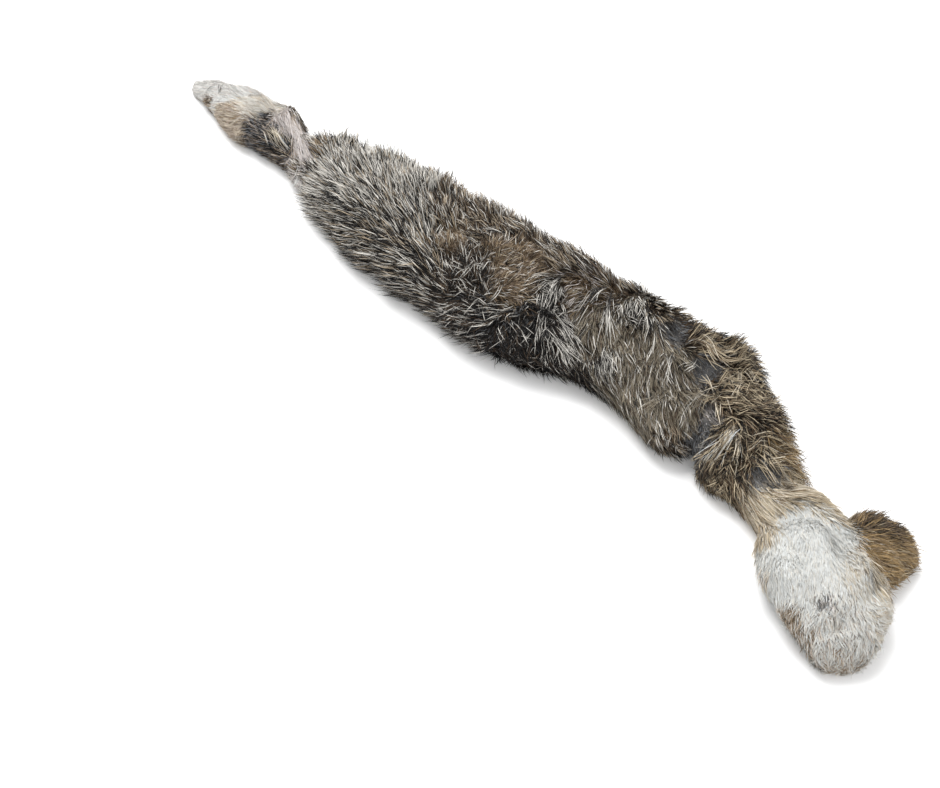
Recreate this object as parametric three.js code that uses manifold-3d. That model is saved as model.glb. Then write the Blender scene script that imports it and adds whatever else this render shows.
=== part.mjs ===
// Rabbit skin pelt, folded once along its length with the fur outside, lying on a flat surface.
// Millimetres, +Z up, underside on z = 0. The hind leg end is at -X +Y, the belly end at +X -Y.
import * as THREE from "three";
import Module from "manifold-3d";

const wasm = await Module();
wasm.setup();

// Driving dimensions of the folded section
const SLIT_GAP = 2.4;
const WIDEST_AT = 0.42;
const CROWN_POWER = 2.5;
const FLOOR_NEAR = 0.87;
const FLOOR_FAR = 0.12;
const CROWN_STEPS = 15;
const EDGE_STEPS = 3;
const FLOOR_STEPS = 2;
const SLIT_STEPS = 2;
const STATIONS_PER_ROW = 2;
const END_ROUNDS = [0.5, 0.84, 0.98];
const END_REACH = 0.36;
const END_LOWEST = 0.08;

// Driving dimensions of the hair locks round the rim
const LOCK_SPACING = 7.5;
const LOCK_WIDTH = 6;
const LOCK_HEIGHT = 4.5;
const LOCK_SHARE = 0.23;
const LOCK_SHORTEST = 3.5;
const LOCK_SPREAD = 0.35;
const LOCK_ROOT_DEPTH = 6;
const LOCK_KNEE = 0.6;
const LOCK_KNEE_SIZE = 0.62;
const LOCK_SAG = 0.14;
const LOCK_BELLY = 0.35;
const LOCK_CLEARANCE = 1.2;
const LOCK_LOWEST = 0.4;
const LOCK_DRIFT = 0.9;

// Where locks sit in turn: share of the crown height, lift of the tip, how much they follow the
// comb of the fur, and how far in they start as a share of the height
const LOCK_LEVELS = {
  near: [
    { name: "floor", at: 0, lift: 0, comb: 1, inset: 0.12 },
    { name: "shoulder", at: 0.52, lift: -0.05, comb: 1.1, inset: 0 },
    { name: "flank", at: 0.32, lift: -0.15, comb: 0.8, inset: 0 },
  ],
  far: [
    { name: "shoulder", at: 0.6, lift: 0.2, comb: 0.8, inset: 0.02 },
    { name: "floor", at: 0, lift: 0, comb: 0.8, inset: 0.12 },
    { name: "crown", at: 0.72, lift: 0.3, comb: 1, inset: 0.08 },
  ],
};

// Sections from the hind foot to the belly end: the far and near edge, the height of the crown,
// how far the open slit between the two layers runs in from the far edge, as a share of the width,
// and how far the fur is combed back towards the foot
const ROWS = [
  { name: "foot_tip", farX: -234, farY: 220, nearX: -234, nearY: 203, height: 10, slit: 0.2, comb: 1.1 },
  { name: "toes", farX: -219, farY: 217, nearX: -223, nearY: 188, height: 15, slit: 0.4, comb: 1.1 },
  { name: "foot", farX: -202, farY: 208, nearX: -208, nearY: 163, height: 19, slit: 0.6, comb: 1.1 },
  { name: "sole", farX: -184, farY: 196, nearX: -192, nearY: 147, height: 22, slit: 0.7, comb: 1.1 },
  { name: "heel", farX: -168, farY: 183, nearX: -177, nearY: 135, height: 24, slit: 0.7, comb: 1.1 },
  { name: "hock", farX: -156, farY: 169, nearX: -164, nearY: 124, height: 23, slit: 0.7, comb: 1.1 },
  { name: "ankle", farX: -147, farY: 153, nearX: -151, nearY: 108, height: 22, slit: 0.7, comb: 1.1 },
  { name: "shank", farX: -135, farY: 140, nearX: -140, nearY: 95, height: 25, slit: 0.75, comb: 1.1 },
  { name: "rump_start", farX: -115, farY: 131, nearX: -130, nearY: 73, height: 29, slit: 0.8, comb: 1.1 },
  { name: "rump", farX: -93, farY: 116, nearX: -118, nearY: 52, height: 33, slit: 0.82, comb: 1.1 },
  { name: "rump_wide", farX: -67, farY: 103, nearX: -104, nearY: 32, height: 36, slit: 0.84, comb: 1.1 },
  { name: "loin", farX: -44, farY: 87, nearX: -89, nearY: 16, height: 38, slit: 0.84, comb: 1.1 },
  { name: "saddle_start", farX: -24, farY: 69, nearX: -72, nearY: -3, height: 40, slit: 0.84, comb: 1.1 },
  { name: "saddle", farX: -5, farY: 58, nearX: -53, nearY: -24, height: 41, slit: 0.84, comb: 1.1 },
  { name: "saddle_hump", farX: 12, farY: 41, nearX: -33, nearY: -43, height: 41, slit: 0.84, comb: 1.1 },
  { name: "crease", farX: 30, farY: 30, nearX: -11, nearY: -56, height: 39, slit: 0.84, comb: 1.1 },
  { name: "rib", farX: 49, farY: 15, nearX: 13, nearY: -65, height: 39, slit: 0.84, comb: 1.1 },
  { name: "rib_end", farX: 69, farY: -1, nearX: 34, nearY: -74, height: 38, slit: 0.84, comb: 1.1 },
  { name: "withers", farX: 88, farY: -14, nearX: 50, nearY: -87, height: 38, slit: 0.84, comb: 1.1 },
  { name: "shoulder", farX: 108, farY: -31, nearX: 62, nearY: -103, height: 37, slit: 0.84, comb: 1.1 },
  { name: "shoulder_wide", farX: 127, farY: -46, nearX: 72, nearY: -119, height: 36, slit: 0.84, comb: 1.1 },
  { name: "notch_start", farX: 142, farY: -59, nearX: 83, nearY: -128, height: 35, slit: 0.82, comb: 1.1 },
  { name: "notch", farX: 148, farY: -83, nearX: 95, nearY: -128, height: 34, slit: 0.8, comb: 1.1 },
  { name: "neck_start", farX: 155, farY: -105, nearX: 99, nearY: -140, height: 32, slit: 0.78, comb: 1.1 },
  { name: "neck", farX: 157, farY: -125, nearX: 106, nearY: -150, height: 29, slit: 0.74, comb: 0.9 },
  { name: "waist_start", farX: 159, farY: -139, nearX: 117, nearY: -158, height: 25, slit: 0.7, comb: 0.6 },
  { name: "waist", farX: 161, farY: -151, nearX: 126, nearY: -169, height: 22, slit: 0.66, comb: 0.3 },
  { name: "waist_end", farX: 171, farY: -161, nearX: 132, nearY: -182, height: 23, slit: 0.66, comb: 0 },
  { name: "belly_start", farX: 182, farY: -175, nearX: 128, nearY: -199, height: 27, slit: 0.7, comb: -0.2 },
  { name: "belly", farX: 190, farY: -195, nearX: 127, nearY: -215, height: 30, slit: 0.72, comb: -0.4 },
  { name: "belly_wide", farX: 194, farY: -215, nearX: 132, nearY: -229, height: 31, slit: 0.72, comb: -0.5 },
  { name: "belly_mid", farX: 195, farY: -231, nearX: 138, nearY: -241, height: 30, slit: 0.68, comb: -0.5 },
  { name: "belly_low", farX: 194, farY: -240, nearX: 141, nearY: -246, height: 28, slit: 0.5, comb: -0.4 },
  { name: "belly_end", farX: 189, farY: -247, nearX: 146, nearY: -251, height: 24, slit: 0.3, comb: -0.2 },
];

// Sections of the brown flank flap, from its root under the belly fur outwards
const FLAP_ROWS = [
  { name: "flap_root", farX: 178, farY: -178, nearX: 178, nearY: -208, height: 19, slit: 0.1, comb: -0.6 },
  { name: "flap_join", farX: 187, farY: -173, nearX: 187, nearY: -216, height: 22, slit: 0.3, comb: -0.6 },
  { name: "flap_wide", farX: 196, farY: -172, nearX: 196, nearY: -217, height: 23, slit: 0.6, comb: -0.6 },
  { name: "flap_mid", farX: 203, farY: -174, nearX: 203, nearY: -214, height: 20, slit: 0.6, comb: -0.6 },
  { name: "flap_low", farX: 209, farY: -179, nearX: 209, nearY: -207, height: 15, slit: 0.4, comb: -0.6 },
];

// Large forms of the top layer: centre, length, width, turn of the length in degrees and rise
const FORMS = [
  { name: "rump_swell", x: -82, y: 68, long: 46, wide: 26, turn: -42, rise: 3 },
  { name: "loin_hollow", x: -38, y: 40, long: 22, wide: 14, turn: 20, rise: -3 },
  { name: "saddle_swell", x: -8, y: 2, long: 30, wide: 24, turn: -40, rise: 4 },
  { name: "cross_crease", x: 33, y: -50, long: 52, wide: 9, turn: -72, rise: -9 },
  { name: "crease_lip", x: 50, y: -42, long: 40, wide: 9, turn: -72, rise: 4 },
  { name: "first_gather", x: 57, y: -18, long: 15, wide: 6, turn: -66, rise: 4 },
  { name: "second_gather", x: 82, y: -37, long: 17, wide: 6, turn: -60, rise: 4 },
  { name: "gather_hollow", x: 70, y: -27, long: 16, wide: 6, turn: -62, rise: -4 },
  { name: "withers_hollow", x: 96, y: -52, long: 15, wide: 9, turn: -30, rise: -4 },
  { name: "shoulder_hollow", x: 110, y: -82, long: 12, wide: 12, turn: 0, rise: -5 },
  { name: "shoulder_swell", x: 88, y: -98, long: 20, wide: 13, turn: -50, rise: 3 },
  { name: "neck_hollow", x: 104, y: -128, long: 12, wide: 8, turn: -40, rise: -4 },
  { name: "foot_ridge", x: -192, y: 176, long: 26, wide: 8, turn: -40, rise: 2 },
  { name: "belly_swell", x: 165, y: -213, long: 20, wide: 14, turn: -60, rise: 3 },
  { name: "belly_dimple", x: 155, y: -242, long: 9, wide: 9, turn: 0, rise: -4 },
];

// Clumps of fur over the top layer, as waves with their length along and across the pelt
const CLUMPS = [
  { along: 53, across: 29, phase: 0.1, rise: 1.2 },
  { along: -41, across: 37, phase: 0.6, rise: 1.1 },
  { along: 27, across: 83, phase: 0.35, rise: 0.9 },
  { along: -113, across: 19, phase: 0.8, rise: 0.9 },
  { along: 33, across: -26, phase: 0.45, rise: 0.8 },
];

const TURN = 2 * Math.PI;
const BODY_SEED = 1;
const FLAP_SEED = 4;

// A power of a sine or cosine that keeps its sign
function power(value, exponent) {
  return Math.sign(value) * Math.abs(value) ** exponent;
}

// A steady number from 0 to 1 that differs for each index
function spread(index, seed) {
  const wave = Math.sin(index * 12.9898 + seed * 78.233) * 43758.5453;
  return wave - Math.floor(wave);
}

// The height that the named forms add at a point
function formRise(x, y) {
  let rise = 0;
  for (const form of FORMS) {
    const turn = THREE.MathUtils.degToRad(form.turn);
    const along = (x - form.x) * Math.cos(turn) + (y - form.y) * Math.sin(turn);
    const across = (y - form.y) * Math.cos(turn) - (x - form.x) * Math.sin(turn);
    rise += form.rise * Math.exp(-((along / form.long) ** 2) - (across / form.wide) ** 2);
  }
  return rise;
}

// The height that the clumps add, from the distances along and across the pelt
function clumpRise(along, across) {
  let rise = 0;
  for (const clump of CLUMPS) {
    rise += clump.rise * Math.sin(TURN * (along / clump.along + across / clump.across + clump.phase));
  }
  return rise;
}

// A smooth run of values through one column of the rows
function column(rows, key) {
  const points = rows.map((row, index) => new THREE.Vector3(index, row[key], 0));
  const curve = new THREE.CatmullRomCurve3(points, false, "catmullrom", 0.5);
  return (share) => curve.getPoint(share).y;
}

// Stations along the pelt between the rows, each with its edges, height, slit and distance along
function stations(rows) {
  const keys = ["farX", "farY", "nearX", "nearY", "height", "slit", "comb"];
  const columns = keys.map((key) => column(rows, key));
  const count = (rows.length - 1) * STATIONS_PER_ROW;
  const list = [];
  for (let index = 0; index <= count; index += 1) {
    const values = columns.map((read) => read(index / count));
    list.push({
      far: new THREE.Vector2(values[0], values[1]),
      near: new THREE.Vector2(values[2], values[3]),
      height: values[4],
      slit: values[5],
      comb: values[6],
    });
  }
  return list;
}

// The middle of a station's section
function middle(station) {
  return station.far.clone().add(station.near).multiplyScalar(0.5);
}

// Rounded end sections past one end of the pelt, from the end outwards
function roundedEnd(end, inner) {
  const centre = middle(end);
  const outwards = centre.clone().sub(middle(inner)).normalize();
  const half = end.near.clone().sub(end.far).multiplyScalar(0.5);
  const reach = END_REACH * end.near.distanceTo(end.far);
  return END_ROUNDS.map((share) => {
    const size = Math.sqrt(1 - share * share);
    const place = centre.clone().addScaledVector(outwards, reach * share);
    return {
      far: place.clone().addScaledVector(half, -size),
      near: place.clone().addScaledVector(half, size),
      height: end.height * (END_LOWEST + (1 - END_LOWEST) * size),
      slit: end.slit,
      comb: end.comb,
    };
  });
}

// All stations with both rounded ends, and the distance along the middle of the pelt
function fullStations(rows) {
  const list = stations(rows);
  const last = list.length - 1;
  const start = roundedEnd(list[0], list[1]).reverse();
  const finish = roundedEnd(list[last], list[last - 1]);
  const all = [...start, ...list, ...finish];
  all[0].along = 0;
  for (let index = 1; index < all.length; index += 1) {
    all[index].along = all[index - 1].along + middle(all[index]).distanceTo(middle(all[index - 1]));
  }
  return all;
}

// The relief fades out towards both rounded ends
function endFade(station, total) {
  const inset = Math.min(station.along, total - station.along);
  return THREE.MathUtils.smoothstep(inset, 0, 30);
}

// One folded section: over the furry crown, round the fold, back along the floor to the far lip,
// then in and out of the slit between the flesh sides
function foldedSection(station, total) {
  const cross = station.near.clone().sub(station.far);
  const width = cross.length();
  const height = station.height;
  const widest = WIDEST_AT * height;
  const gap = Math.min(SLIT_GAP, 0.3 * widest) / 2;
  const fade = endFade(station, total);
  const exponent = 2 / CROWN_POWER;
  const points = [];
  const place = (share, z) => {
    const spot = station.far.clone().addScaledVector(cross, share);
    points.push(new THREE.Vector3(spot.x, spot.y, Math.max(z, 0)));
  };
  for (let step = 0; step <= CROWN_STEPS; step += 1) {
    const angle = Math.PI * (step / CROWN_STEPS);
    const share = 0.5 - 0.5 * power(Math.cos(angle), exponent);
    const lift = power(Math.sin(angle), exponent);
    const z = widest + gap + (height - widest - gap) * lift;
    const spot = station.far.clone().addScaledVector(cross, share);
    const relief = fade * (formRise(spot.x, spot.y) + clumpRise(station.along, share * width));
    const sideways = (-relief * Math.cos(angle) * Math.sin(angle)) / width;
    place(share + sideways, z + relief * Math.sin(angle));
  }
  for (let step = 1; step <= EDGE_STEPS; step += 1) {
    const angle = (Math.PI / 2) * (step / EDGE_STEPS);
    const share = FLOOR_NEAR + (1 - FLOOR_NEAR) * Math.cos(angle);
    place(share, widest * (1 - Math.sin(angle)));
  }
  for (let step = 1; step < FLOOR_STEPS; step += 1) {
    place(FLOOR_NEAR + (FLOOR_FAR - FLOOR_NEAR) * (step / FLOOR_STEPS), 0);
  }
  for (let step = 0; step <= EDGE_STEPS; step += 1) {
    const angle = (Math.PI / 2) * (step / EDGE_STEPS);
    place(FLOOR_FAR * (1 - Math.sin(angle)), (widest - gap) * (1 - Math.cos(angle)));
  }
  for (let step = 1; step <= SLIT_STEPS; step += 1) {
    place(station.slit * (step / SLIT_STEPS), widest - gap);
  }
  for (let step = SLIT_STEPS; step >= 1; step -= 1) {
    place(station.slit * (step / SLIT_STEPS), widest + gap);
  }
  return points;
}

// A closed solid through a run of sections with the same number of points
function loft(sections) {
  const ring = sections[0].length;
  const vertices = sections.flat().flatMap((point) => [point.x, point.y, point.z]);
  const triangles = [];
  for (let row = 0; row < sections.length - 1; row += 1) {
    for (let index = 0; index < ring; index += 1) {
      const next = (index + 1) % ring;
      const a = row * ring + index;
      const b = row * ring + next;
      triangles.push(a, b, b + ring, a, b + ring, a + ring);
    }
  }
  for (const row of [0, sections.length - 1]) {
    triangles.push(...endCap(sections[row], row * ring, row === 0));
  }
  return solid(vertices, triangles);
}

// Triangles that close one end of a loft, zipped between the outside of the section and its slit
function endCap(section, first, reversed) {
  const lip = section.length - 2 * SLIT_STEPS - 1;
  const outer = Array.from({ length: lip + 1 }, (_, index) => index);
  const inner = Array.from({ length: 2 * SLIT_STEPS + 1 }, (_, index) => section.length - index);
  inner[0] = 0;
  inner.push(lip);
  const triangles = [[0, outer[1], inner[1]]];
  let i = 1;
  let j = 1;
  while (i < outer.length - 2 || j < inner.length - 2) {
    const ahead = section[outer[i + 1]].distanceTo(section[inner[j]]);
    const behind = section[outer[i]].distanceTo(section[inner[j + 1]]);
    if (j === inner.length - 2 || (i < outer.length - 2 && ahead < behind)) {
      triangles.push([outer[i], outer[i + 1], inner[j]]);
      i += 1;
    } else {
      triangles.push([outer[i], inner[j + 1], inner[j]]);
      j += 1;
    }
  }
  triangles.push([outer[i], lip, inner[j]]);
  return triangles.flatMap(([a, b, c]) => {
    const order = reversed ? [a, c, b] : [a, b, c];
    return order.map((index) => first + index);
  });
}

// A solid from flat lists of vertices and triangles
function solid(vertices, triangles) {
  const mesh = new wasm.Mesh({
    numProp: 3,
    vertProperties: new Float32Array(vertices),
    triVerts: new Uint32Array(triangles),
  });
  return new wasm.Manifold(mesh);
}

// A bent three-sided lock of hair, fused by its root into the pelt
function lock(root, direction, length, onFloor) {
  const side = new THREE.Vector3(-direction.y, direction.x, 0).normalize();
  const ring = (distance, size) => {
    const centre = root.clone().addScaledVector(direction, distance);
    centre.z = Math.max(centre.z - LOCK_SAG * length * (distance / length) ** 2, LOCK_CLEARANCE);
    const base = onFloor ? 0 : Math.max(centre.z - LOCK_BELLY * LOCK_HEIGHT * size, LOCK_LOWEST);
    const left = centre.clone().addScaledVector(side, 0.5 * LOCK_WIDTH * size).setZ(base);
    const right = centre.clone().addScaledVector(side, -0.5 * LOCK_WIDTH * size).setZ(base);
    const top = centre.clone().setZ(base + LOCK_HEIGHT * size);
    return [left, right, top];
  };
  const knee = LOCK_KNEE * length;
  const tip = ring(length, 0)[0];
  const points = [...ring(0, 1), ...ring(knee, LOCK_KNEE_SIZE), tip];
  const vertices = points.flatMap((point) => [point.x, point.y, point.z]);
  const triangles = [0, 1, 2];
  for (let index = 0; index < 3; index += 1) {
    const next = (index + 1) % 3;
    triangles.push(index, next + 3, next, index, index + 3, next + 3);
    triangles.push(index + 3, 6, next + 3);
  }
  return solid(vertices, triangles);
}

// The rim as seen from above: down the near edge and back up the far edge, short of the end caps
function rim(all) {
  const list = all.slice(1, -1);
  const last = list.length - 1;
  const spots = [];
  for (const edge of ["near", "far"]) {
    for (let step = 0; step <= last; step += 1) {
      const index = edge === "near" ? step : last - step;
      const before = list[Math.max(index - 1, 0)];
      const after = list[Math.min(index + 1, last)];
      spots.push({
        edge,
        spot: list[index][edge],
        height: list[index].height,
        comb: list[index].comb,
        backwards: middle(before).sub(middle(after)).normalize(),
      });
    }
  }
  return spots;
}

// Locks at even steps round the rim, at the floor, the flank or the shoulder of the crown in turn
function rimLocks(list, seed) {
  const spots = rim(list);
  const locks = [];
  let due = LOCK_SPACING / 2;
  for (let index = 1; index < spots.length; index += 1) {
    const from = spots[index - 1];
    const to = spots[index];
    const step = from.spot.distanceTo(to.spot);
    for (; due < step; due += LOCK_SPACING) {
      const foot = from.spot.clone().lerp(to.spot, due / step);
      const tangent = to.spot.clone().sub(from.spot).normalize();
      const outwards = new THREE.Vector2(tangent.y, -tangent.x);
      locks.push(rimLock(foot, outwards, to, locks.length, seed));
    }
    due -= step;
  }
  return locks;
}

// One lock of the rim, longer where the pelt is thick, leaning from straight outwards the way the
// fur is combed there
function rimLock(foot, outwards, rimSpot, index, seed) {
  const levels = LOCK_LEVELS[rimSpot.edge];
  const level = levels[index % levels.length];
  const comb = rimSpot.comb * level.comb + LOCK_DRIFT * (spread(index, seed) - 0.5);
  const lean = outwards.clone().addScaledVector(rimSpot.backwards, comb).normalize();
  const direction = new THREE.Vector3(lean.x, lean.y, level.lift).normalize();
  const usual = Math.max(LOCK_SHARE * rimSpot.height, LOCK_SHORTEST);
  const length = usual * (1 + LOCK_SPREAD * (2 * spread(index, seed + 1) - 1));
  const inset = LOCK_ROOT_DEPTH + level.inset * rimSpot.height;
  const spot = foot.clone().addScaledVector(outwards, -inset);
  const root = new THREE.Vector3(spot.x, spot.y, level.at * rimSpot.height);
  return lock(root, direction, length + inset, level.at === 0);
}

const body = fullStations(ROWS);
const bodyLength = body[body.length - 1].along;
const flap = fullStations(FLAP_ROWS);
const flapLength = flap[flap.length - 1].along;

const joinedPieces = [
  loft(flap.map((station) => foldedSection(station, flapLength))),
  ...rimLocks(body, BODY_SEED),
  ...rimLocks(flap, FLAP_SEED),
];
let whole = loft(body.map((station) => foldedSection(station, bodyLength)));
for (const piece of joinedPieces) {
  whole = whole.add(piece);
}

const joined = whole.getMesh();
const geometry = new THREE.BufferGeometry();
geometry.setAttribute("position", new THREE.BufferAttribute(Float32Array.from(joined.vertProperties), 3));
geometry.setIndex(new THREE.BufferAttribute(Uint32Array.from(joined.triVerts), 1));
geometry.computeBoundingBox();
const centre = geometry.boundingBox.getCenter(new THREE.Vector3());
geometry.translate(-centre.x, -centre.y, -geometry.boundingBox.min.z);
geometry.computeVertexNormals();

const material = new THREE.MeshStandardMaterial({ color: 0x8a7b68, roughness: 0.95, metalness: 0 });
const pelt = new THREE.Mesh(geometry, material);
pelt.name = "pelt";

const part = new THREE.Group();
part.name = "rabbit_pelt";
part.add(pelt);

export default part;
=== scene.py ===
"""Dresses the rabbit skin pelt: skin, wool, guard hair, floor, light and camera."""

import logging
import math
from dataclasses import dataclass, field
from enum import Enum
from typing import Iterable

import bpy
import numpy as np
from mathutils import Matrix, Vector
from mathutils.bvhtree import BVHTree
from mathutils.kdtree import KDTree


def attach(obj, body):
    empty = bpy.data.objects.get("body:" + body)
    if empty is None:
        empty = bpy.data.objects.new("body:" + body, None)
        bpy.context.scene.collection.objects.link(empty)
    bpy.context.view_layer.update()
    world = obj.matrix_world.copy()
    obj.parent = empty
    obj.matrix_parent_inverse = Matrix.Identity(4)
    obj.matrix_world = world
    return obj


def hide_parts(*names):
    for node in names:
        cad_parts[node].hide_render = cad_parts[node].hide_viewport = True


LOG = logging.getLogger("pelt")

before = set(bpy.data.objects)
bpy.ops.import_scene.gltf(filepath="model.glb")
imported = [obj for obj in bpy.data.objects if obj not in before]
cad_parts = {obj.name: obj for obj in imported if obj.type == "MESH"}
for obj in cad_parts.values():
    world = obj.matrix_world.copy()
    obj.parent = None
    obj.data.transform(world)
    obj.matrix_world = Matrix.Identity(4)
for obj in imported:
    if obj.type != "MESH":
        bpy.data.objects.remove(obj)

MM = 0.001

# Middle of the solid's own coordinates, which the part moves to the origin
BOX_CENTRE = (-9.94, -21.35)

SEED = 20261130

# The folded section, as in the part's source
SLIT_GAP = 2.4
SLIT_SHARE = 0.3
WIDEST_AT = 0.42
CROWN_POWER = 2.5
FLOOR_NEAR = 0.87
FLOOR_FAR = 0.12
END_REACH = 0.36
END_LOWEST = 0.08
END_FADE = 30.0

# Limits that keep narrow sections from turning over, in millimetres and shares of the width
LEAST_SPAN = 0.5
LEAST_RISE = 0.3
NEAR_LIMIT = 0.4
FAR_LIMIT = 0.6

# How the pelt is layered
SKIN_THICKNESS = 1.4
SKIN_INSET = 0.9
MOUTH_INSET = 0.8
PILE_SHARE = 0.16
PILE_LEAST = 2.0
PILE_MOST = 6.0
FLOOR_CLEARANCE = 0.4
MAT_CLEARANCE = 0.2
PACKED_MOST = 0.85
ROOT_DEPTH = 1.0
PATCH_LAP = 1.0

# How the zones blend into each other
ZONE_REACH = 1.15
ZONE_FLOOR = 1e-4
ZONE_SHARPNESS = 1.6

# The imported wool's tint, as shares of the roots' colours when loose and when packed
LOOSE_ROOTS = 0.65
PACKED_ROOTS = 0.1
# Painted shade of the deep pile, which darkens the whole tint
MAT_PAINTED_SHADE = 0.88

# How much clumps, and single hairs in them, differ from their zone
CLUMP_TURN, HAIR_TURN = 0.75, 0.55
CLUMP_LIFT, HAIR_LIFT = 0.6, 0.4
CLUMP_SHADE, HAIR_SHADE = 0.1, 0.2
MIDDLE_SHADE = 0.5
# Painted light and shade of the clumps, added to the hairs' shade as soft patches
BROAD_PAINTED_LIGHT, SMALL_PAINTED_LIGHT = 0.045, 0.05
LIFT_MESS = 0.5
LIFT_RANGE = (0.04, 1.25)

# Even draws, each with its least value and what it adds at most
CLUMP_LENGTH = (0.8, 0.25)
HAIR_LENGTH = (0.78, 0.4)
HAIR_WIDTH = (0.75, 0.5)
LOCK_LENGTH = (0.65, 0.5)
STRAND_LENGTH = (0.7, 0.4)
STRAND_WIDTH = (0.22, 0.2)
STRAND_SHADE = (0.15, 0.6)
STRAND_FREEDOM = (0.4, 1.8)

# The hair's map: the start and the span of a tone's column and of a hair's length
COLUMN_SPAN = (0.08, 0.84)
MAP_SPAN = (0.02, 0.96)
BLADE_HALF = 0.0006

# How a hair bends, gathers, waves and turns on its way to the tip
TIP_LIFT = 0.6
GATHER_LEAST = 0.4
GATHER_POWER = 1.6
PRESS_POWER = 1.7
WAVE_LENGTH = 12
HAIR_ROLL = 0.7
HAIR_TAPER = (0.7, 1.0, 0.72, 0.5)

# How far the tips of the hair may stand out of the fur's surface
TIP_FREEDOM = 0.5
STRAY_SHARE = 0.09
STRAY_FREEDOM = 2.6
LEAST_FREEDOM = 0.2

# How the long strands lie on the fur, in millimetres
STRAND_DEPTH = 1.2
STRAND_ARCH = 0.7
STRANDS_A_LOCK = 3
LOCK_JITTER = 1.1
SPILL_WIDTH = 1.25
SPILL_DROP = 0.25
LOCK_BEND = 0.15
STRAND_TURN = 0.09
STRAND_ROLL = 0.5
STRAND_LOWEST = 1.0
STRAND_TRIES = 3
STRAND_LEAST_POINTS = 3
ARCH_SHIFT = 1.15
STRAND_KNOTS = (0.0, 0.22, 0.45, 0.68, 0.86, 1.0)
STRAND_TAPER = (0.6, 0.95, 1.0, 0.85, 0.6)
RAY_START = 200.0

# How finely the forms are cut
STATIONS_PER_ROW = 6
END_STEPS = 6
CROWN_CUTS = 44
EDGE_CUTS = 6
SLIT_CUTS = 8

# The camera of the photograph, over the point of the floor at the picture's middle
CAMERA_LENS = 50.0
CAMERA_RISE = 52.0
CAMERA_DISTANCE = 809.0
CAMERA_POINT = (-20.06, -54.65)

Array = np.ndarray


@dataclass(frozen=True)
class Row:
    """One measured section of the pelt, in millimetres."""

    name: str
    far_x: float
    far_y: float
    near_x: float
    near_y: float
    height: float
    slit: float


@dataclass(frozen=True)
class Form:
    """A swell or a hollow of the top layer, in millimetres and degrees."""

    name: str
    x: float
    y: float
    long: float
    wide: float
    turn: float
    rise: float


@dataclass(frozen=True)
class Wave:
    """One wave of the clumps, with its length along and across the pelt."""

    along: float
    across: float
    phase: float
    rise: float


ROWS: tuple[Row, ...] = (
    Row("foot_tip", -234, 220, -234, 203, 10, 0.2),
    Row("toes", -219, 217, -223, 188, 15, 0.4),
    Row("foot", -202, 208, -208, 163, 19, 0.6),
    Row("sole", -184, 196, -192, 147, 22, 0.7),
    Row("heel", -168, 183, -177, 135, 24, 0.7),
    Row("hock", -156, 169, -164, 124, 23, 0.7),
    Row("ankle", -147, 153, -151, 108, 22, 0.7),
    Row("shank", -135, 140, -140, 95, 25, 0.75),
    Row("rump_start", -115, 131, -130, 73, 29, 0.8),
    Row("rump", -93, 116, -118, 52, 33, 0.82),
    Row("rump_wide", -67, 103, -104, 32, 36, 0.84),
    Row("loin", -44, 87, -89, 16, 38, 0.84),
    Row("saddle_start", -24, 69, -72, -3, 40, 0.84),
    Row("saddle", -5, 58, -53, -24, 41, 0.84),
    Row("saddle_hump", 12, 41, -33, -43, 41, 0.84),
    Row("crease", 30, 30, -11, -56, 39, 0.84),
    Row("rib", 49, 15, 13, -65, 39, 0.84),
    Row("rib_end", 69, -1, 34, -74, 38, 0.84),
    Row("withers", 88, -14, 50, -87, 38, 0.84),
    Row("shoulder", 108, -31, 62, -103, 37, 0.84),
    Row("shoulder_wide", 127, -46, 72, -119, 36, 0.84),
    Row("notch_start", 142, -59, 83, -128, 35, 0.82),
    Row("notch", 148, -83, 95, -128, 34, 0.8),
    Row("neck_start", 155, -105, 99, -140, 32, 0.78),
    Row("neck", 157, -125, 106, -150, 29, 0.74),
    Row("waist_start", 159, -139, 117, -158, 25, 0.7),
    Row("waist", 161, -151, 126, -169, 22, 0.66),
    Row("waist_end", 171, -161, 132, -182, 23, 0.66),
    Row("belly_start", 182, -175, 128, -199, 27, 0.7),
    Row("belly", 190, -195, 127, -215, 30, 0.72),
    Row("belly_wide", 194, -215, 132, -229, 31, 0.72),
    Row("belly_mid", 195, -231, 138, -241, 30, 0.68),
    Row("belly_low", 194, -240, 141, -246, 28, 0.5),
    Row("belly_end", 189, -247, 146, -251, 24, 0.3),
)

FLAP_ROWS: tuple[Row, ...] = (
    Row("flap_root", 178, -178, 178, -208, 19, 0.1),
    Row("flap_join", 187, -173, 187, -216, 22, 0.3),
    Row("flap_wide", 196, -172, 196, -217, 23, 0.6),
    Row("flap_mid", 203, -174, 203, -214, 20, 0.6),
    Row("flap_low", 209, -179, 209, -207, 15, 0.4),
)

FORMS: tuple[Form, ...] = (
    Form("rump_swell", -82, 68, 46, 26, -42, 3),
    Form("loin_hollow", -38, 40, 22, 14, 20, -3),
    Form("saddle_swell", -8, 2, 30, 24, -40, 4),
    Form("cross_crease", 33, -50, 52, 9, -72, -9),
    Form("crease_lip", 50, -42, 40, 9, -72, 4),
    Form("first_gather", 57, -18, 15, 6, -66, 4),
    Form("second_gather", 82, -37, 17, 6, -60, 4),
    Form("gather_hollow", 70, -27, 16, 6, -62, -4),
    Form("withers_hollow", 96, -52, 15, 9, -30, -4),
    Form("shoulder_hollow", 110, -82, 12, 12, 0, -5),
    Form("shoulder_swell", 88, -98, 20, 13, -50, 3),
    Form("neck_hollow", 104, -128, 12, 8, -40, -4),
    Form("foot_ridge", -192, 176, 26, 8, -40, 2),
    Form("belly_swell", 165, -213, 20, 14, -60, 3),
    Form("belly_dimple", 155, -242, 9, 9, 0, -4),
)

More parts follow.
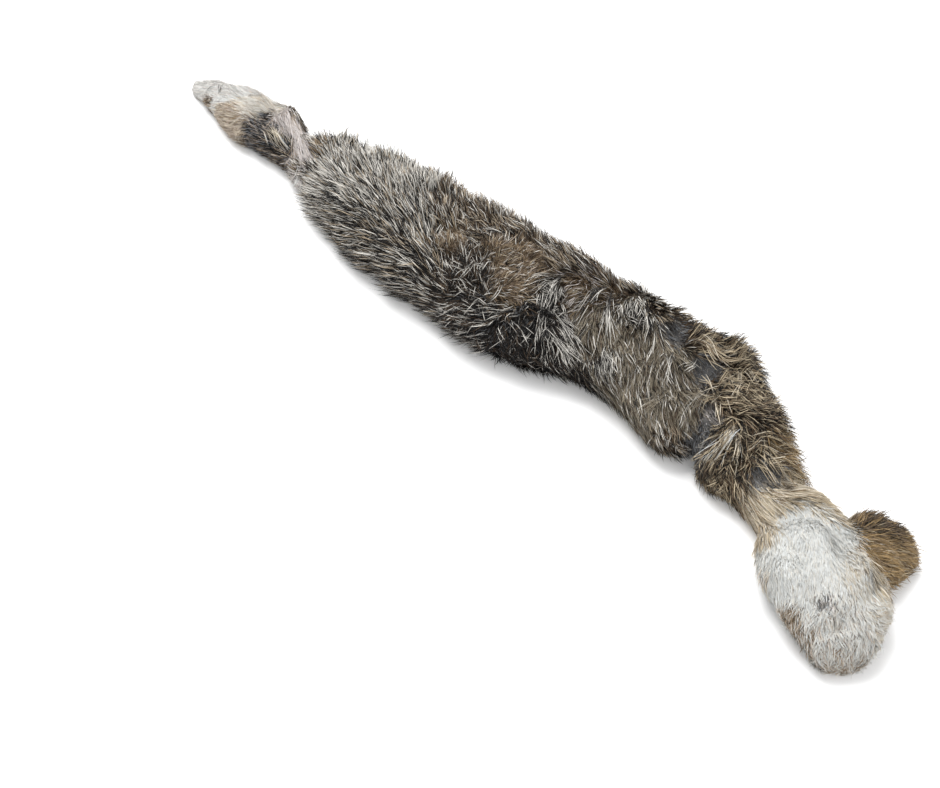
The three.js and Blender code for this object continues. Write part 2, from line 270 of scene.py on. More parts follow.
WAVES: tuple[Wave, ...] = (
    Wave(53, 29, 0.1, 1.2),
    Wave(-41, 37, 0.6, 1.1),
    Wave(27, 83, 0.35, 0.9),
    Wave(-113, 19, 0.8, 0.9),
    Wave(33, -26, 0.45, 0.8),
)

# Where the wool is packed close under the surface, with the share of the pile that it fills
PACKED: tuple[Form, ...] = (
    Form("pad", 155, -206, 46, 31, -60, 0.95),
    Form("pad_low", 166, -250, 28, 30, -60, 0.6),
    Form("foot", -200, 183, 40, 20, -32, 0.75),
    Form("ankle", -160, 163, 14, 10, -58, 0.4),
)


class Tone(Enum):
    """The dyes of the hair, each a column of the hair's own map."""

    SILVER = 0
    BANDED = 1
    BLACK = 2
    GREY = 3
    WHITE = 4
    IVORY = 5
    CREAM = 6
    STRAW = 7
    FAWN = 8
    TAN = 9
    GINGER = 10
    BROWN = 11
    OLIVE = 12
    SLATE = 13
    PINK = 14
    DARK = 15


@dataclass(frozen=True)
class Dye:
    """Colours of a hair from its root to its tip, as sRGB values from 0 to 255.

    The band is the light or dark ring between `low` and `high` along the hair. The width is a
    share of the usual one, and so is the spread of light and dark from hair to hair.
    """

    root: tuple[int, int, int]
    band: tuple[int, int, int]
    tip: tuple[int, int, int]
    low: float = 0.4
    high: float = 0.8
    width: float = 1.0
    spread: float = 1.0


DYES: dict[Tone, Dye] = {
    Tone.SILVER: Dye((40, 38, 36), (216, 212, 204), (110, 104, 97), 0.46, 0.84),
    Tone.BANDED: Dye((34, 31, 29), (170, 155, 134), (28, 25, 23), 0.55, 0.8),
    Tone.BLACK: Dye((22, 20, 19), (17, 15, 14), (10, 9, 9)),
    Tone.GREY: Dye((58, 56, 54), (124, 120, 114), (136, 131, 125)),
    Tone.WHITE: Dye((212, 214, 213), (216, 218, 216), (219, 220, 217), width=0.6, spread=0.08),
    Tone.IVORY: Dye((200, 197, 189), (214, 211, 203), (222, 218, 209), width=0.65, spread=0.18),
    Tone.CREAM: Dye((130, 120, 106), (204, 193, 174), (220, 209, 190), width=0.85, spread=0.75),
    Tone.STRAW: Dye((80, 69, 55), (184, 169, 143), (204, 188, 160), width=0.9),
    Tone.FAWN: Dye((140, 127, 116), (186, 172, 158), (202, 188, 174), width=0.65, spread=0.6),
    Tone.TAN: Dye((76, 63, 50), (134, 116, 93), (152, 132, 108)),
    Tone.GINGER: Dye((86, 68, 45), (148, 124, 88), (170, 147, 106)),
    Tone.BROWN: Dye((44, 36, 29), (86, 71, 56), (100, 83, 66)),
    Tone.OLIVE: Dye((68, 62, 53), (134, 125, 109), (156, 146, 127), width=0.8, spread=0.8),
    Tone.SLATE: Dye((42, 43, 46), (108, 110, 113), (154, 156, 158), width=0.8, spread=1.2),
    Tone.PINK: Dye((176, 168, 165), (212, 205, 202), (222, 216, 213), width=0.6, spread=0.5),
    Tone.DARK: Dye((28, 24, 22), (48, 42, 37), (38, 32, 29)),
}


def mix(**shares: float) -> tuple[tuple[Tone, float], ...]:
    """Mixes dyes for a coat.

    Args:
        shares: The share of the hairs that each dye has, by its name.

    Returns:
        Each dye with its share.
    """
    return tuple((Tone[name], share) for name, share in shares.items())


class Coat(Enum):
    """Mixtures of dyes, each a dye with its share of the hairs."""

    # Darker than AGOUTI: partly more black hair, partly painted shade of the pelt's lower, near
    # side
    AGOUTI_DARK_AND_SHADED = mix(SILVER=0.22, BANDED=0.16, BLACK=0.62)
    FOOT_CREAM = mix(IVORY=0.62, FAWN=0.2, CREAM=0.18)
    FOOT_SLATE = mix(BLACK=0.42, SLATE=0.32, FAWN=0.16, BROWN=0.1)
    MATTED_DARK = mix(BLACK=0.68, DARK=0.14, SILVER=0.08, BROWN=0.1)
    STRAND_SILVER = mix(SILVER=0.5, BLACK=0.5)
    WHITE_SOFT = mix(WHITE=0.7, IVORY=0.3)
    FOOT_WHITE = mix(PINK=0.3, IVORY=0.3, GREY=0.01, WHITE=0.39)
    PAD_GREY = mix(WHITE=0.45, IVORY=0.38, GREY=0.06, FAWN=0.11)
    SLATE_PALE = mix(GREY=0.45, PINK=0.35, SLATE=0.2)
    BARE_WOOL = mix(TAN=0.6, BROWN=0.24, FAWN=0.16)
    STRAW_OLIVE = mix(STRAW=0.4, OLIVE=0.2, BLACK=0.2, TAN=0.2)
    STRAW_BRIGHT = mix(STRAW=0.5, CREAM=0.15, TAN=0.13, BLACK=0.22)
    SILVER = mix(SILVER=0.54, BANDED=0.1, BLACK=0.36)
    AGOUTI = mix(SILVER=0.37, BANDED=0.17, BLACK=0.46)
    AGOUTI_BROWN = mix(BANDED=0.26, BROWN=0.28, BLACK=0.3, SILVER=0.16)
    AGOUTI_TAN = mix(TAN=0.35, SILVER=0.35, BLACK=0.3)
    BARE_BROWN = mix(BROWN=0.25, TAN=0.3, FAWN=0.1, SILVER=0.1, BLACK=0.17, STRAW=0.08)
    BLACK = mix(BLACK=0.55, SLATE=0.28, DARK=0.17)
    BLACK_AWNED = mix(BLACK=0.47, CREAM=0.1, FAWN=0.15, SLATE=0.16, BROWN=0.12)
    BROWN = mix(BROWN=0.65, DARK=0.35)
    BROWN_DARK = mix(BROWN=0.4, DARK=0.25, TAN=0.15, GINGER=0.2)
    CREAM = mix(CREAM=0.5, IVORY=0.3, FAWN=0.2)
    CREAM_FAWN = mix(CREAM=0.5, FAWN=0.35, WHITE=0.15)
    CREAM_LONG = mix(CREAM=0.55, STRAW=0.2, WHITE=0.25)
    DARK = mix(DARK=0.7, BROWN=0.3)
    FAWN = mix(FAWN=0.6, CREAM=0.25, TAN=0.15)
    FAWN_MOTTLED = mix(FAWN=0.4, TAN=0.4, IVORY=0.2)
    GINGER = mix(GINGER=0.6, TAN=0.3, STRAW=0.1)
    GINGER_CREAM = mix(GINGER=0.72, CREAM=0.06, STRAW=0.22)
    GINGER_STRAW = mix(GINGER=0.4, STRAW=0.3, BROWN=0.3)
    GREY = mix(DARK=0.5, GREY=0.22, BLACK=0.28)
    GREY_BROWN = mix(OLIVE=0.5, BROWN=0.5)
    IVORY = mix(IVORY=0.6, CREAM=0.15, WHITE=0.25)
    MATTED = mix(BLACK=0.42, SILVER=0.24, DARK=0.14, BROWN=0.2)
    OLIVE = mix(OLIVE=0.7, GREY=0.15, BROWN=0.15)
    OLIVE_AWNED = mix(OLIVE=0.6, SILVER=0.13, BLACK=0.12, BROWN=0.15)
    PALE = mix(WHITE=0.3, PINK=0.6, BLACK=0.1)
    PINK = mix(PINK=0.8, FAWN=0.14, TAN=0.04, BLACK=0.02)
    PINK_GREY = mix(PINK=0.3, OLIVE=0.45, BLACK=0.25)
    SILVER_BLACK = mix(SILVER=0.48, BLACK=0.52)
    SLATE = mix(SLATE=0.6, DARK=0.12, GREY=0.28)
    STRAW = mix(STRAW=0.44, CREAM=0.46, TAN=0.1)
    STRAW_BROWN = mix(STRAW=0.28, BROWN=0.18, BLACK=0.42, TAN=0.12)
    TAN = mix(TAN=0.6, FAWN=0.2, BROWN=0.2)
    TAN_BROWN = mix(TAN=0.5, BROWN=0.5)
    WHITE = mix(WHITE=0.9, IVORY=0.1)
    WHITE_GREY = mix(WHITE=0.5, IVORY=0.3, GREY=0.06, FAWN=0.14)


@dataclass(frozen=True)
class Zone:
    """How the fur looks and lies round one spot.

    x, y and reach are millimetres in the row frame. Heading is where the tips point, lift is the
    angle off the skin and mess the spread of both, in degrees. Length is that of the guard hair.
    """

    name: str
    x: float
    y: float
    reach: float
    heading: float
    lift: float
    length: float
    mess: float
    guard: Coat
    wool: Coat
    cover: float = 1.0


ZONES: tuple[Zone, ...] = (
    Zone("foot_tip", -215, 224, 8, 167, 6, 7, 5, Coat.FOOT_WHITE, Coat.FOOT_WHITE, 1.5),
    Zone("foot_top", -193, 213, 9, 153, 6, 8, 5, Coat.FOOT_WHITE, Coat.FOOT_WHITE, 1.6),
    # White hair here is a painted highlight on top of the foot
    Zone("foot_painted_highlight", -194, 201, 3, 155, 8, 8, 8, Coat.WHITE, Coat.WHITE, 1.6),
    Zone("foot_ridge", -170, 207, 7, 146, 6, 9, 8, Coat.FOOT_WHITE, Coat.IVORY, 1.5),
    Zone("foot_cream", -174, 195, 7, 149, 8, 10, 9, Coat.FOOT_CREAM, Coat.FOOT_CREAM, 1.4),
    Zone("foot_corner", -212, 211, 3, -167, 20, 7, 25, Coat.TAN, Coat.BROWN, 0.8),
    Zone("foot_side", -194, 188, 7, 161, 10, 9, 14, Coat.FAWN, Coat.FAWN, 1.3),
    Zone("foot_low", -189, 173, 7, -149, 30, 11, 28, Coat.FAWN, Coat.FAWN, 1.2),
    Zone("foot_dark", -171, 166, 7, 144, 8, 9, 14, Coat.FOOT_SLATE, Coat.FOOT_SLATE),
    Zone("foot_dark_end", -157, 148, 6, 123, 10, 11, 14, Coat.BLACK_AWNED, Coat.BLACK),
    Zone("foot_low_end", -171, 156, 5, -138, 32, 12, 28, Coat.TAN_BROWN, Coat.BROWN, 1.2),
    Zone("foot_rim_end", -157, 142, 5, -138, 30, 12, 26, Coat.TAN_BROWN, Coat.BROWN, 1.1),
    Zone("ankle_pale", -151, 179, 4, -70, 6, 14, 6, Coat.PINK, Coat.PINK, 1.5),
    Zone("ankle_pale_low", -139, 145, 4, -66, 6, 15, 7, Coat.PINK, Coat.PINK, 1.5),
    Zone("ankle_ridge", -144, 186, 3, -66, 14, 13, 12, Coat.AGOUTI_TAN, Coat.BROWN, 0.9),
    Zone("ankle_ridge_low", -134, 162, 4, -55, 18, 15, 14, Coat.AGOUTI_TAN, Coat.BROWN, 0.9),
    Zone("ankle_tuft", -135, 119, 5, -98, 40, 20, 22, Coat.PINK, Coat.PALE, 1.2),
    Zone("shank", -124, 135, 7, 119, 16, 12, 18, Coat.AGOUTI_TAN, Coat.BROWN),
    Zone("shank_low", -122, 119, 7, 123, 14, 13, 15, Coat.AGOUTI, Coat.DARK),
    Zone("rump_edge", -104, 141, 10, 98, 62, 24, 20, Coat.AGOUTI, Coat.GREY),
    Zone("rump_top", -105, 116, 12, 113, 32, 18, 12, Coat.SILVER, Coat.GREY),
    Zone("rump", -100, 86, 13, 128, 22, 19, 10, Coat.SILVER, Coat.GREY),
    # Darker hair and wool low on the near side, partly painted shade
    Zone("rump_low", -100, 64, 12, 144, 18, 19, 12, Coat.AGOUTI_DARK_AND_SHADED, Coat.DARK),
    Zone("rump_rim", -119, 99, 10, -175, 55, 27, 26, Coat.SILVER, Coat.DARK),
    # Darker rims along the near edge, partly painted shade of that side
    Zone("rump_rim_low", -107, 80, 9, -175, 55, 27, 26, Coat.AGOUTI_DARK_AND_SHADED, Coat.DARK),
    Zone("rump_rim_mid", -95, 65, 9, -175, 55, 27, 26, Coat.AGOUTI_DARK_AND_SHADED, Coat.BLACK),
    Zone("loin_rim", -58, 25, 8, -175, 55, 27, 26, Coat.AGOUTI_DARK_AND_SHADED, Coat.BLACK),
    Zone("back_rim", -79, 47, 8, -175, 55, 27, 26, Coat.AGOUTI_DARK_AND_SHADED, Coat.BLACK),
    Zone("back_edge", -68, 128, 10, 92, 62, 24, 20, Coat.AGOUTI, Coat.GREY),
    Zone("back_top", -64, 97, 13, 100, 38, 18, 14, Coat.SILVER, Coat.GREY),
    Zone("back", -66, 66, 13, 113, 26, 18, 12, Coat.AGOUTI, Coat.GREY),
    # Darker hair and wool low on the near side, partly painted shade
    Zone("back_low", -75, 35, 14, 131, 18, 19, 12, Coat.AGOUTI_DARK_AND_SHADED, Coat.DARK),
    Zone("loin_edge", -30, 104, 9, 78, 58, 22, 20, Coat.AGOUTI_BROWN, Coat.BROWN),
    Zone("loin_top", -30, 73, 8, 106, 34, 15, 24, Coat.AGOUTI_BROWN, Coat.BROWN, 0.9),
    Zone("loin", -49, 46, 8, 108, 28, 17, 16, Coat.AGOUTI, Coat.GREY),
    # Darker hair and wool low on the near side, partly painted shade
    Zone("loin_low", -49, 14, 12, 122, 20, 18, 14, Coat.AGOUTI_DARK_AND_SHADED, Coat.DARK),
    Zone("bare_loin", -35, 41, 8, 94, 30, 8, 45, Coat.BARE_BROWN, Coat.BARE_WOOL, 0.45),
    Zone("saddle_edge", 0, 75, 8, 114, 50, 20, 30, Coat.AGOUTI_BROWN, Coat.BROWN, 0.9),
    Zone("saddle_top", -7, 50, 8, 144, 25, 15, 40, Coat.AGOUTI_BROWN, Coat.BROWN, 0.7),
    Zone("bare_saddle", 8, 21, 10, 25, 20, 9, 45, Coat.BARE_BROWN, Coat.BARE_WOOL, 0.5),
    Zone("bare_saddle_low", -1, -1, 7, -13, 20, 9, 45, Coat.BARE_BROWN, Coat.BARE_WOOL, 0.5),
    Zone("matted", -25, 11, 10, 98, 20, 14, 60, Coat.MATTED, Coat.DARK, 0.75),
    Zone("matted_low", -20, -12, 12, 177, 20, 16, 45, Coat.MATTED, Coat.BLACK, 0.7),
    Zone("dark_low", 10, -34, 14, -94, 18, 18, 34, Coat.MATTED_DARK, Coat.BLACK, 0.7),
    Zone("dark_rim", 41, -53, 10, -66, 16, 17, 25, Coat.MATTED_DARK, Coat.BLACK, 0.7),
    Zone("crest", 25, 54, 6, 133, 40, 18, 25, Coat.AGOUTI_BROWN, Coat.BROWN, 0.9),
    Zone("crest_end", 47, 31, 7, 144, 38, 17, 20, Coat.AGOUTI_BROWN, Coat.BROWN, 0.9),
    Zone("crease_top", 30, 4, 6, -106, 16, 16, 20, Coat.SILVER_BLACK, Coat.DARK, 0.8),
    Zone("crease", 36, -26, 7, -78, 14, 18, 18, Coat.SILVER_BLACK, Coat.DARK, 0.8),
    Zone("withers_edge", 70, 17, 6, 155, 38, 14, 25, Coat.AGOUTI_BROWN, Coat.BROWN, 0.8),
    Zone("withers", 53, 2, 7, -155, 18, 12, 30, Coat.PINK_GREY, Coat.TAN_BROWN, 0.35),
    Zone("rib", 50, -29, 8, -98, 8, 15, 15, Coat.OLIVE_AWNED, Coat.OLIVE, 0.7),
    Zone("rib_low", 53, -57, 8, -66, 8, 15, 15, Coat.OLIVE_AWNED, Coat.OLIVE, 0.7),
    Zone("line", 62, -47, 5, -88, 14, 18, 10, Coat.SILVER_BLACK, Coat.DARK),
    Zone("line_low", 65, -84, 7, -67, 16, 20, 12, Coat.SILVER_BLACK, Coat.BLACK),
    Zone("shoulder", 82, -47, 12, -94, 8, 15, 15, Coat.OLIVE_AWNED, Coat.OLIVE, 0.7),
    Zone("shoulder_mid", 90, -77, 12, -82, 8, 15, 15, Coat.OLIVE_AWNED, Coat.OLIVE, 0.7),
    Zone("shoulder_low", 88, -102, 9, -86, 22, 12, 25, Coat.AGOUTI_BROWN, Coat.DARK, 0.7),
    Zone("pinch", 84, -17, 5, -94, 14, 18, 15, Coat.SILVER_BLACK, Coat.OLIVE, 0.9),
    Zone("hollow_dark", 95, -11, 4, -90, 26, 14, 20, Coat.AGOUTI_BROWN, Coat.DARK),
    Zone("notch_edge", 106, 6, 5, 74, 42, 18, 26, Coat.AGOUTI_BROWN, Coat.DARK),
    Zone("slate_top", 105, -28, 5, -66, 14, 5, 25, Coat.SLATE, Coat.SLATE, 0.35),
    Zone("right_top", 122, -28, 7, 13, 28, 14, 30, Coat.STRAW_BROWN, Coat.BROWN, 0.8),
    Zone("right_edge", 141, -40, 7, 25, 42, 18, 25, Coat.STRAW_BROWN, Coat.BROWN, 0.9),
    Zone("slate_mid", 122, -59, 5, -66, 14, 5, 25, Coat.SLATE, Coat.SLATE, 0.35),
    Zone("right", 141, -72, 10, -25, 26, 15, 35, Coat.STRAW_BROWN, Coat.BROWN, 0.8),
    Zone("right_rim", 160, -83, 7, -13, 46, 18, 30, Coat.STRAW_BROWN, Coat.BROWN, 0.9),
    Zone("slate_long", 113, -104, 5, -82, 12, 6, 25, Coat.SLATE, Coat.SLATE, 0.35),
    Zone("slate_long_top", 118, -86, 3, -82, 12, 6, 25, Coat.SLATE, Coat.SLATE, 0.35),
    # Paler hair and wool here are a painted highlight on the slate patch
    Zone("slate_painted_highlight", 122, -90, 4, -74, 12, 6, 15, Coat.PINK_GREY, Coat.SLATE_PALE, 0.3),
    Zone("neck", 132, -113, 9, -123, 20, 16, 30, Coat.STRAW_BROWN, Coat.GREY_BROWN, 0.7),
    Zone("neck_rim", 163, -112, 6, -25, 46, 17, 30, Coat.GINGER_STRAW, Coat.GINGER, 0.9),
    Zone("slate_low", 149, -129, 5, -66, 14, 5, 25, Coat.SLATE, Coat.SLATE, 0.35),
    Zone("neck_low", 118, -133, 7, -106, 18, 12, 30, Coat.STRAW_OLIVE, Coat.TAN_BROWN, 0.6),
    Zone("neck_low_rim", 128, -147, 6, -57, 18, 12, 20, Coat.TAN, Coat.TAN, 0.7),
    Zone("waist_top", 158, -141, 7, -25, 10, 13, 10, Coat.STRAW, Coat.STRAW),
    Zone("waist", 138, -150, 7, -58, 9, 15, 8, Coat.STRAW, Coat.CREAM),
    Zone("waist_low", 143, -165, 6, -66, 9, 14, 8, Coat.STRAW, Coat.CREAM),
    Zone("waist_end", 180, -148, 7, -19, 10, 11, 12, Coat.STRAW, Coat.CREAM),
    Zone("pad_top", 162, -163, 10, -92, 11, 8, 12, Coat.WHITE_SOFT, Coat.WHITE, 1.6),
    Zone("pad", 157, -189, 16, -94, 11, 8, 12, Coat.WHITE_SOFT, Coat.WHITE_SOFT, 1.6),
    Zone("pad_left_rim", 136, -192, 5, -138, 22, 10, 18, Coat.CREAM_FAWN, Coat.FAWN, 1.2),
    Zone("pad_left_low", 143, -221, 7, -128, 22, 10, 24, Coat.FAWN_MOTTLED, Coat.FAWN, 1.2),
    Zone("pad_right", 186, -197, 7, -66, 13, 8, 14, Coat.IVORY, Coat.CREAM, 1.4),
    Zone("pad_right_rim", 198, -225, 6, -13, 16, 10, 20, Coat.IVORY, Coat.CREAM, 1.2),
    Zone("pad_centre", 167, -214, 3, -90, 14, 6, 30, Coat.SLATE_PALE, Coat.SLATE),
    Zone("pad_low", 173, -235, 13, -86, 15, 9, 26, Coat.PAD_GREY, Coat.WHITE_GREY, 1.6),
    Zone("pad_low_left", 151, -236, 8, -114, 20, 9, 26, Coat.FAWN_MOTTLED, Coat.GREY_BROWN, 1.2),
    Zone("pad_brown", 149, -216, 3, -138, 14, 8, 24, Coat.FAWN_MOTTLED, Coat.TAN),
    Zone("pad_brown_low", 155, -234, 3, -114, 16, 9, 26, Coat.FAWN_MOTTLED, Coat.TAN),
    Zone("pad_olive", 171, -243, 3, -94, 16, 8, 30, Coat.OLIVE, Coat.FAWN),
    Zone("pad_bottom", 177, -248, 10, -94, 22, 12, 24, Coat.FAWN_MOTTLED, Coat.FAWN, 1.2),
    Zone("pad_foot", 165, -247, 7, -106, 24, 11, 28, Coat.FAWN_MOTTLED, Coat.FAWN, 1.2),
    Zone("flap_top", 209, -160, 7, 6, 30, 14, 25, Coat.BROWN_DARK, Coat.GREY_BROWN),
    Zone("flap", 206, -183, 8, -19, 22, 14, 20, Coat.GINGER, Coat.GINGER),
    Zone("flap_low", 212, -195, 6, -42, 25, 14, 20, Coat.GINGER_CREAM, Coat.GINGER),
    Zone("flap_end", 229, -173, 8, -6, 25, 14, 20, Coat.GINGER, Coat.GINGER),
    Zone("flap_join", 191, -192, 5, -66, 20, 18, 12, Coat.CREAM_LONG, Coat.CREAM),
)


@dataclass(frozen=True)
class Fan:
    """Locks of long strands that run over the fur from one spot, in millimetres and degrees.

    The roots lie within `reach` of the spot and up to `run` from it along the middle heading. The
    locks point between `start` and `end` and turn by `curl` on their way. Their tips may run past
    the pelt's edge by `spill`.
    """

    name: str
    x: float
    y: float
    reach: float
    run: float
    start: float
    end: float
    curl: float
    count: int
    length: float
    coat: Coat
    spill: float = 0.0


# Locks along the near edge; the darker ones partly hold painted shade of that side
NEAR_EDGE: tuple[tuple[float, float, Coat], ...] = (
    (-114, 98, Coat.STRAND_SILVER),
    (-104, 83, Coat.STRAND_SILVER),
    (-93, 68, Coat.STRAND_SILVER),
    (-80, 54, Coat.AGOUTI_DARK_AND_SHADED),
    (-69, 42, Coat.AGOUTI_DARK_AND_SHADED),
    (-55, 28, Coat.AGOUTI_DARK_AND_SHADED),
)

FANS: tuple[Fan, ...] = (
    *(
        Fan(f"near_edge_{number}", x, y, 5, 2, 139, 200, 0, 30, 16, coat, 7)
        for number, (x, y, coat) in enumerate(NEAR_EDGE, 1)
    ),
    Fan("crease_top_fan", 28, 46, 4, 4, -71, -53, 0, 28, 22, Coat.STRAND_SILVER, 6),
    Fan("crease_fan", 37, 16, 2, 6, -149, -114, 0, 24, 24, Coat.SILVER_BLACK),
    Fan("crease_lock", 37, 15, 2, 17, -114, -104, 0, 30, 26, Coat.SILVER_BLACK),
    Fan("crease_tuft", 24, -21, 1, 2, -108, -76, 0, 20, 16, Coat.STRAND_SILVER),
    Fan("rib_arc", 27, -24, 2, 12, -71, -58, 18, 32, 31, Coat.STRAND_SILVER),
    Fan("rib_arc_low", 20, -39, 3, 8, -58, -43, 10, 20, 23, Coat.STRAND_SILVER),
    Fan("rib_line", 29, -11, 1, 12, -64, -58, 0, 10, 41, Coat.STRAND_SILVER),
    Fan("gather_fan", 66, 2, 2, 10, -149, -123, 0, 28, 27, Coat.SILVER_BLACK),
    Fan("gather_drop", 68, -1, 1, 23, -103, -96, 4, 34, 27, Coat.SILVER_BLACK),
    Fan("gather_low", 59, -38, 2, 20, -92, -80, 8, 36, 27, Coat.SILVER_BLACK),
    Fan("line_low_fan", 60, -69, 2, 19, -74, -57, 6, 36, 28, Coat.SILVER_BLACK),
    Fan("line_end", 69, -91, 3, 12, -67, -45, 0, 20, 22, Coat.STRAND_SILVER),
    Fan("second_fan", 88, -12, 2, 3, -122, -85, 4, 24, 26, Coat.SILVER_BLACK),
    Fan("second_drop", 92, -25, 2, 8, -101, -92, 0, 12, 27, Coat.STRAND_SILVER),
    Fan("third_line", 102, -47, 1, 16, -108, -96, 0, 14, 28, Coat.SILVER_BLACK),
    Fan("chest_arc", 102, -77, 2, 13, -155, -137, -10, 20, 22, Coat.OLIVE_AWNED),
    Fan("shoulder_waves", 90, -55, 11, 11, -113, -74, 0, 60, 20, Coat.OLIVE_AWNED),
    Fan("slate_pale", 117, -52, 1, 3, -131, -109, 0, 12, 18, Coat.STRAND_SILVER),
    Fan("neck_fan", 124, -73, 2, 8, -149, -116, 0, 24, 28, Coat.OLIVE_AWNED),
    Fan("neck_pale_fan", 134, -105, 2, 5, -155, -127, 6, 44, 24, Coat.CREAM_LONG),
    Fan("neck_pale_drop", 136, -107, 2, 5, -108, -95, 0, 14, 22, Coat.CREAM_LONG),
    Fan("right_black_tuft", 150, -55, 2, 2, -10, 20, 0, 20, 16, Coat.BLACK, 9),
    Fan("right_black_fold", 140, -38, 2, 3, -41, -15, 0, 20, 17, Coat.BLACK, 9),
    Fan("right_top_tuft", 120, -36, 6, 4, -67, -25, 0, 40, 20, Coat.STRAW_BRIGHT, 6),
    Fan("right_top_spread", 126, -48, 4, 9, -36, 10, 0, 40, 23, Coat.STRAW_BRIGHT, 8),
    Fan("waist_straws", 131, -139, 6, 10, -71, -57, 0, 80, 36, Coat.STRAW, 4),
    Fan("waist_straws_top", 157, -137, 6, 9, -32, -10, 0, 72, 29, Coat.STRAW, 4),
    Fan("matted_strands", -15, 1, 15, 0, 0, 360, 30, 54, 14, Coat.STRAND_SILVER),
    Fan("matted_arc", -20, -19, 5, 19, -27, 10, 14, 30, 16, Coat.STRAND_SILVER),
    Fan("matted_strands_low", 1, -35, 14, 7, -58, -27, 0, 24, 19, Coat.STRAND_SILVER),
    Fan("loin_strands", -25, 11, 7, 6, 74, 114, 0, 10, 17, Coat.STRAND_SILVER),
    Fan("bare_rim_strands", -17, 49, 5, 5, -45, -18, 0, 16, 16, Coat.STRAND_SILVER),
    Fan("crest_strands", 0, 70, 5, 9, -71, -41, 0, 60, 23, Coat.AGOUTI_BROWN, 7),
    Fan("crest_end_strands", 44, 37, 5, 7, -66, -43, 0, 46, 22, Coat.AGOUTI_BROWN, 7),
    Fan("right_strands", 137, -80, 16, 0, 0, 360, 0, 170, 19, Coat.STRAW_BRIGHT, 8),
    Fan("right_low_strands", 148, -116, 12, 0, -74, 25, 0, 110, 18, Coat.STRAW_BRIGHT, 8),
    Fan("neck_low_strands", 121, -128, 9, 4, -82, -47, 0, 44, 22, Coat.STRAW_BROWN, 4),
    Fan("foot_awns", -164, 170, 4, 4, -69, -53, 0, 22, 21, Coat.CREAM_LONG),
    Fan("foot_awns_low", -167, 152, 3, 5, -43, -25, 0, 16, 21, Coat.CREAM_LONG),
    Fan("ankle_stream", -152, 187, 2, 26, -72, -64, 0, 170, 33, Coat.PINK),
    Fan("ankle_tuft", -140, 135, 2, 3, -85, -67, -30, 90, 23, Coat.PALE, 13),
    Fan("toe_line", -204, 222, 1, 2, -95, -74, -20, 6, 9, Coat.GREY),
    Fan("toe_line_top", -218, 219, 1, 1, 25, 47, -50, 5, 11, Coat.GREY),
    Fan("pad_fleck_rays", 166, -217, 1, 0, 0, 360, 0, 8, 8, Coat.GREY),
    Fan("pad_curls", 168, -239, 7, 3, -110, -66, 30, 24, 16, Coat.WHITE),
    Fan("pad_rim_strands", 190, -197, 5, 12, -67, -55, 0, 44, 26, Coat.CREAM_LONG, 4),
    Fan("flap_waves", 200, -188, 9, 5, -38, 3, 14, 70, 18, Coat.GINGER_CREAM),
    Fan("flap_top_strays", 212, -159, 6, 2, -15, 15, 0, 24, 16, Coat.BROWN_DARK, 8),
)


def linear(colour: Iterable[float]) -> tuple[float, float, float, float]:
    """Turns an sRGB colour into the linear one that a shader takes.

    Args:
        colour: Three values from 0 to 255.

    Returns:
        The linear colour with an alpha of 1.
    """
    values = [value / 255.0 for value in colour]
    return (*((v / 12.92 if v <= 0.04045 else ((v + 0.055) / 1.055) ** 2.4) for v in values), 1.0)


def unit(vectors: Array) -> Array:
    """Scales vectors to length 1.

    Args:
        vectors: Vectors along the last axis.

    Returns:
        The unit vectors.
    """
    return vectors / np.maximum(np.linalg.norm(vectors, axis=-1, keepdims=True), 1e-9)


def signed_power(values: Array, exponent: float) -> Array:
    """Raises the size of values to a power and keeps their sign.

    Args:
        values: Any numbers.
        exponent: The power.

    Returns:
        The raised values.
    """
    return np.sign(values) * np.abs(values) ** exponent


@dataclass
class Stations:
    """Closely spaced sections along the pelt: edges, height, slit, distance along and end fade."""

    far: Array
    near: Array
    height: Array
    slit: Array
    along: Array = field(init=False)
    fade: Array = field(init=False)

    def __post_init__(self) -> None:
        """Measures the distance along the middle and how far the relief fades at the ends."""
        middle = (self.far + self.near) / 2
        steps = np.linalg.norm(np.diff(middle, axis=0), axis=1)
        self.along = np.concatenate([[0.0], np.cumsum(steps)])
        inset = np.clip(np.minimum(self.along, self.along[-1] - self.along) / END_FADE, 0, 1)
        self.fade = inset * inset * (3 - 2 * inset)

    @property
    def width(self) -> Array:
        """The distance between both edges at each station."""
        return np.linalg.norm(self.near - self.far, axis=1)


def smooth_columns(table: Array, per_row: int) -> Array:
    """Runs a smooth curve through each column of a table, as the part's source does.

    Args:
        table: One row a section.
        per_row: Steps from one row to the next.

    Returns:
        The table with the steps filled in.
    """
    first = 2 * table[0] - table[1]
    last = 2 * table[-1] - table[-2]
    padded = np.vstack([first, table, last])
    count = (len(table) - 1) * per_row
    place = np.arange(count + 1) / per_row
    index = np.minimum(place.astype(int), len(table) - 2)
    share = (place - index)[:, None]
    a, b, c, d = (padded[index + offset] for offset in range(4))
    rise_b, rise_c = (c - a) / 2, (d - b) / 2
    cube, square = share**3, share**2
    return (
        b
        + rise_b * share
        + (-3 * b + 3 * c - 2 * rise_b - rise_c) * square
        + (2 * b - 2 * c + rise_b + rise_c) * cube
    )


def build_stations(rows: tuple[Row, ...]) -> Stations:
    """Fills in the sections between the rows and rounds both ends.

    Args:
        rows: The measured sections.

    Returns:
        The stations, in millimetres in the row frame.
    """
    table = np.array(
        [[r.far_x, r.far_y, r.near_x, r.near_y, r.height, r.slit] for r in rows], dtype=float
    )
    table[:, [0, 2]] -= BOX_CENTRE[0]
    table[:, [1, 3]] -= BOX_CENTRE[1]
    filled = smooth_columns(table, STATIONS_PER_ROW)
    start = round_end(filled[0], filled[STATIONS_PER_ROW // 2])[::-1]
    finish = round_end(filled[-1], filled[-1 - STATIONS_PER_ROW // 2])
    full = np.vstack([start, filled, finish])
    return Stations(full[:, 0:2], full[:, 2:4], full[:, 4], full[:, 5])


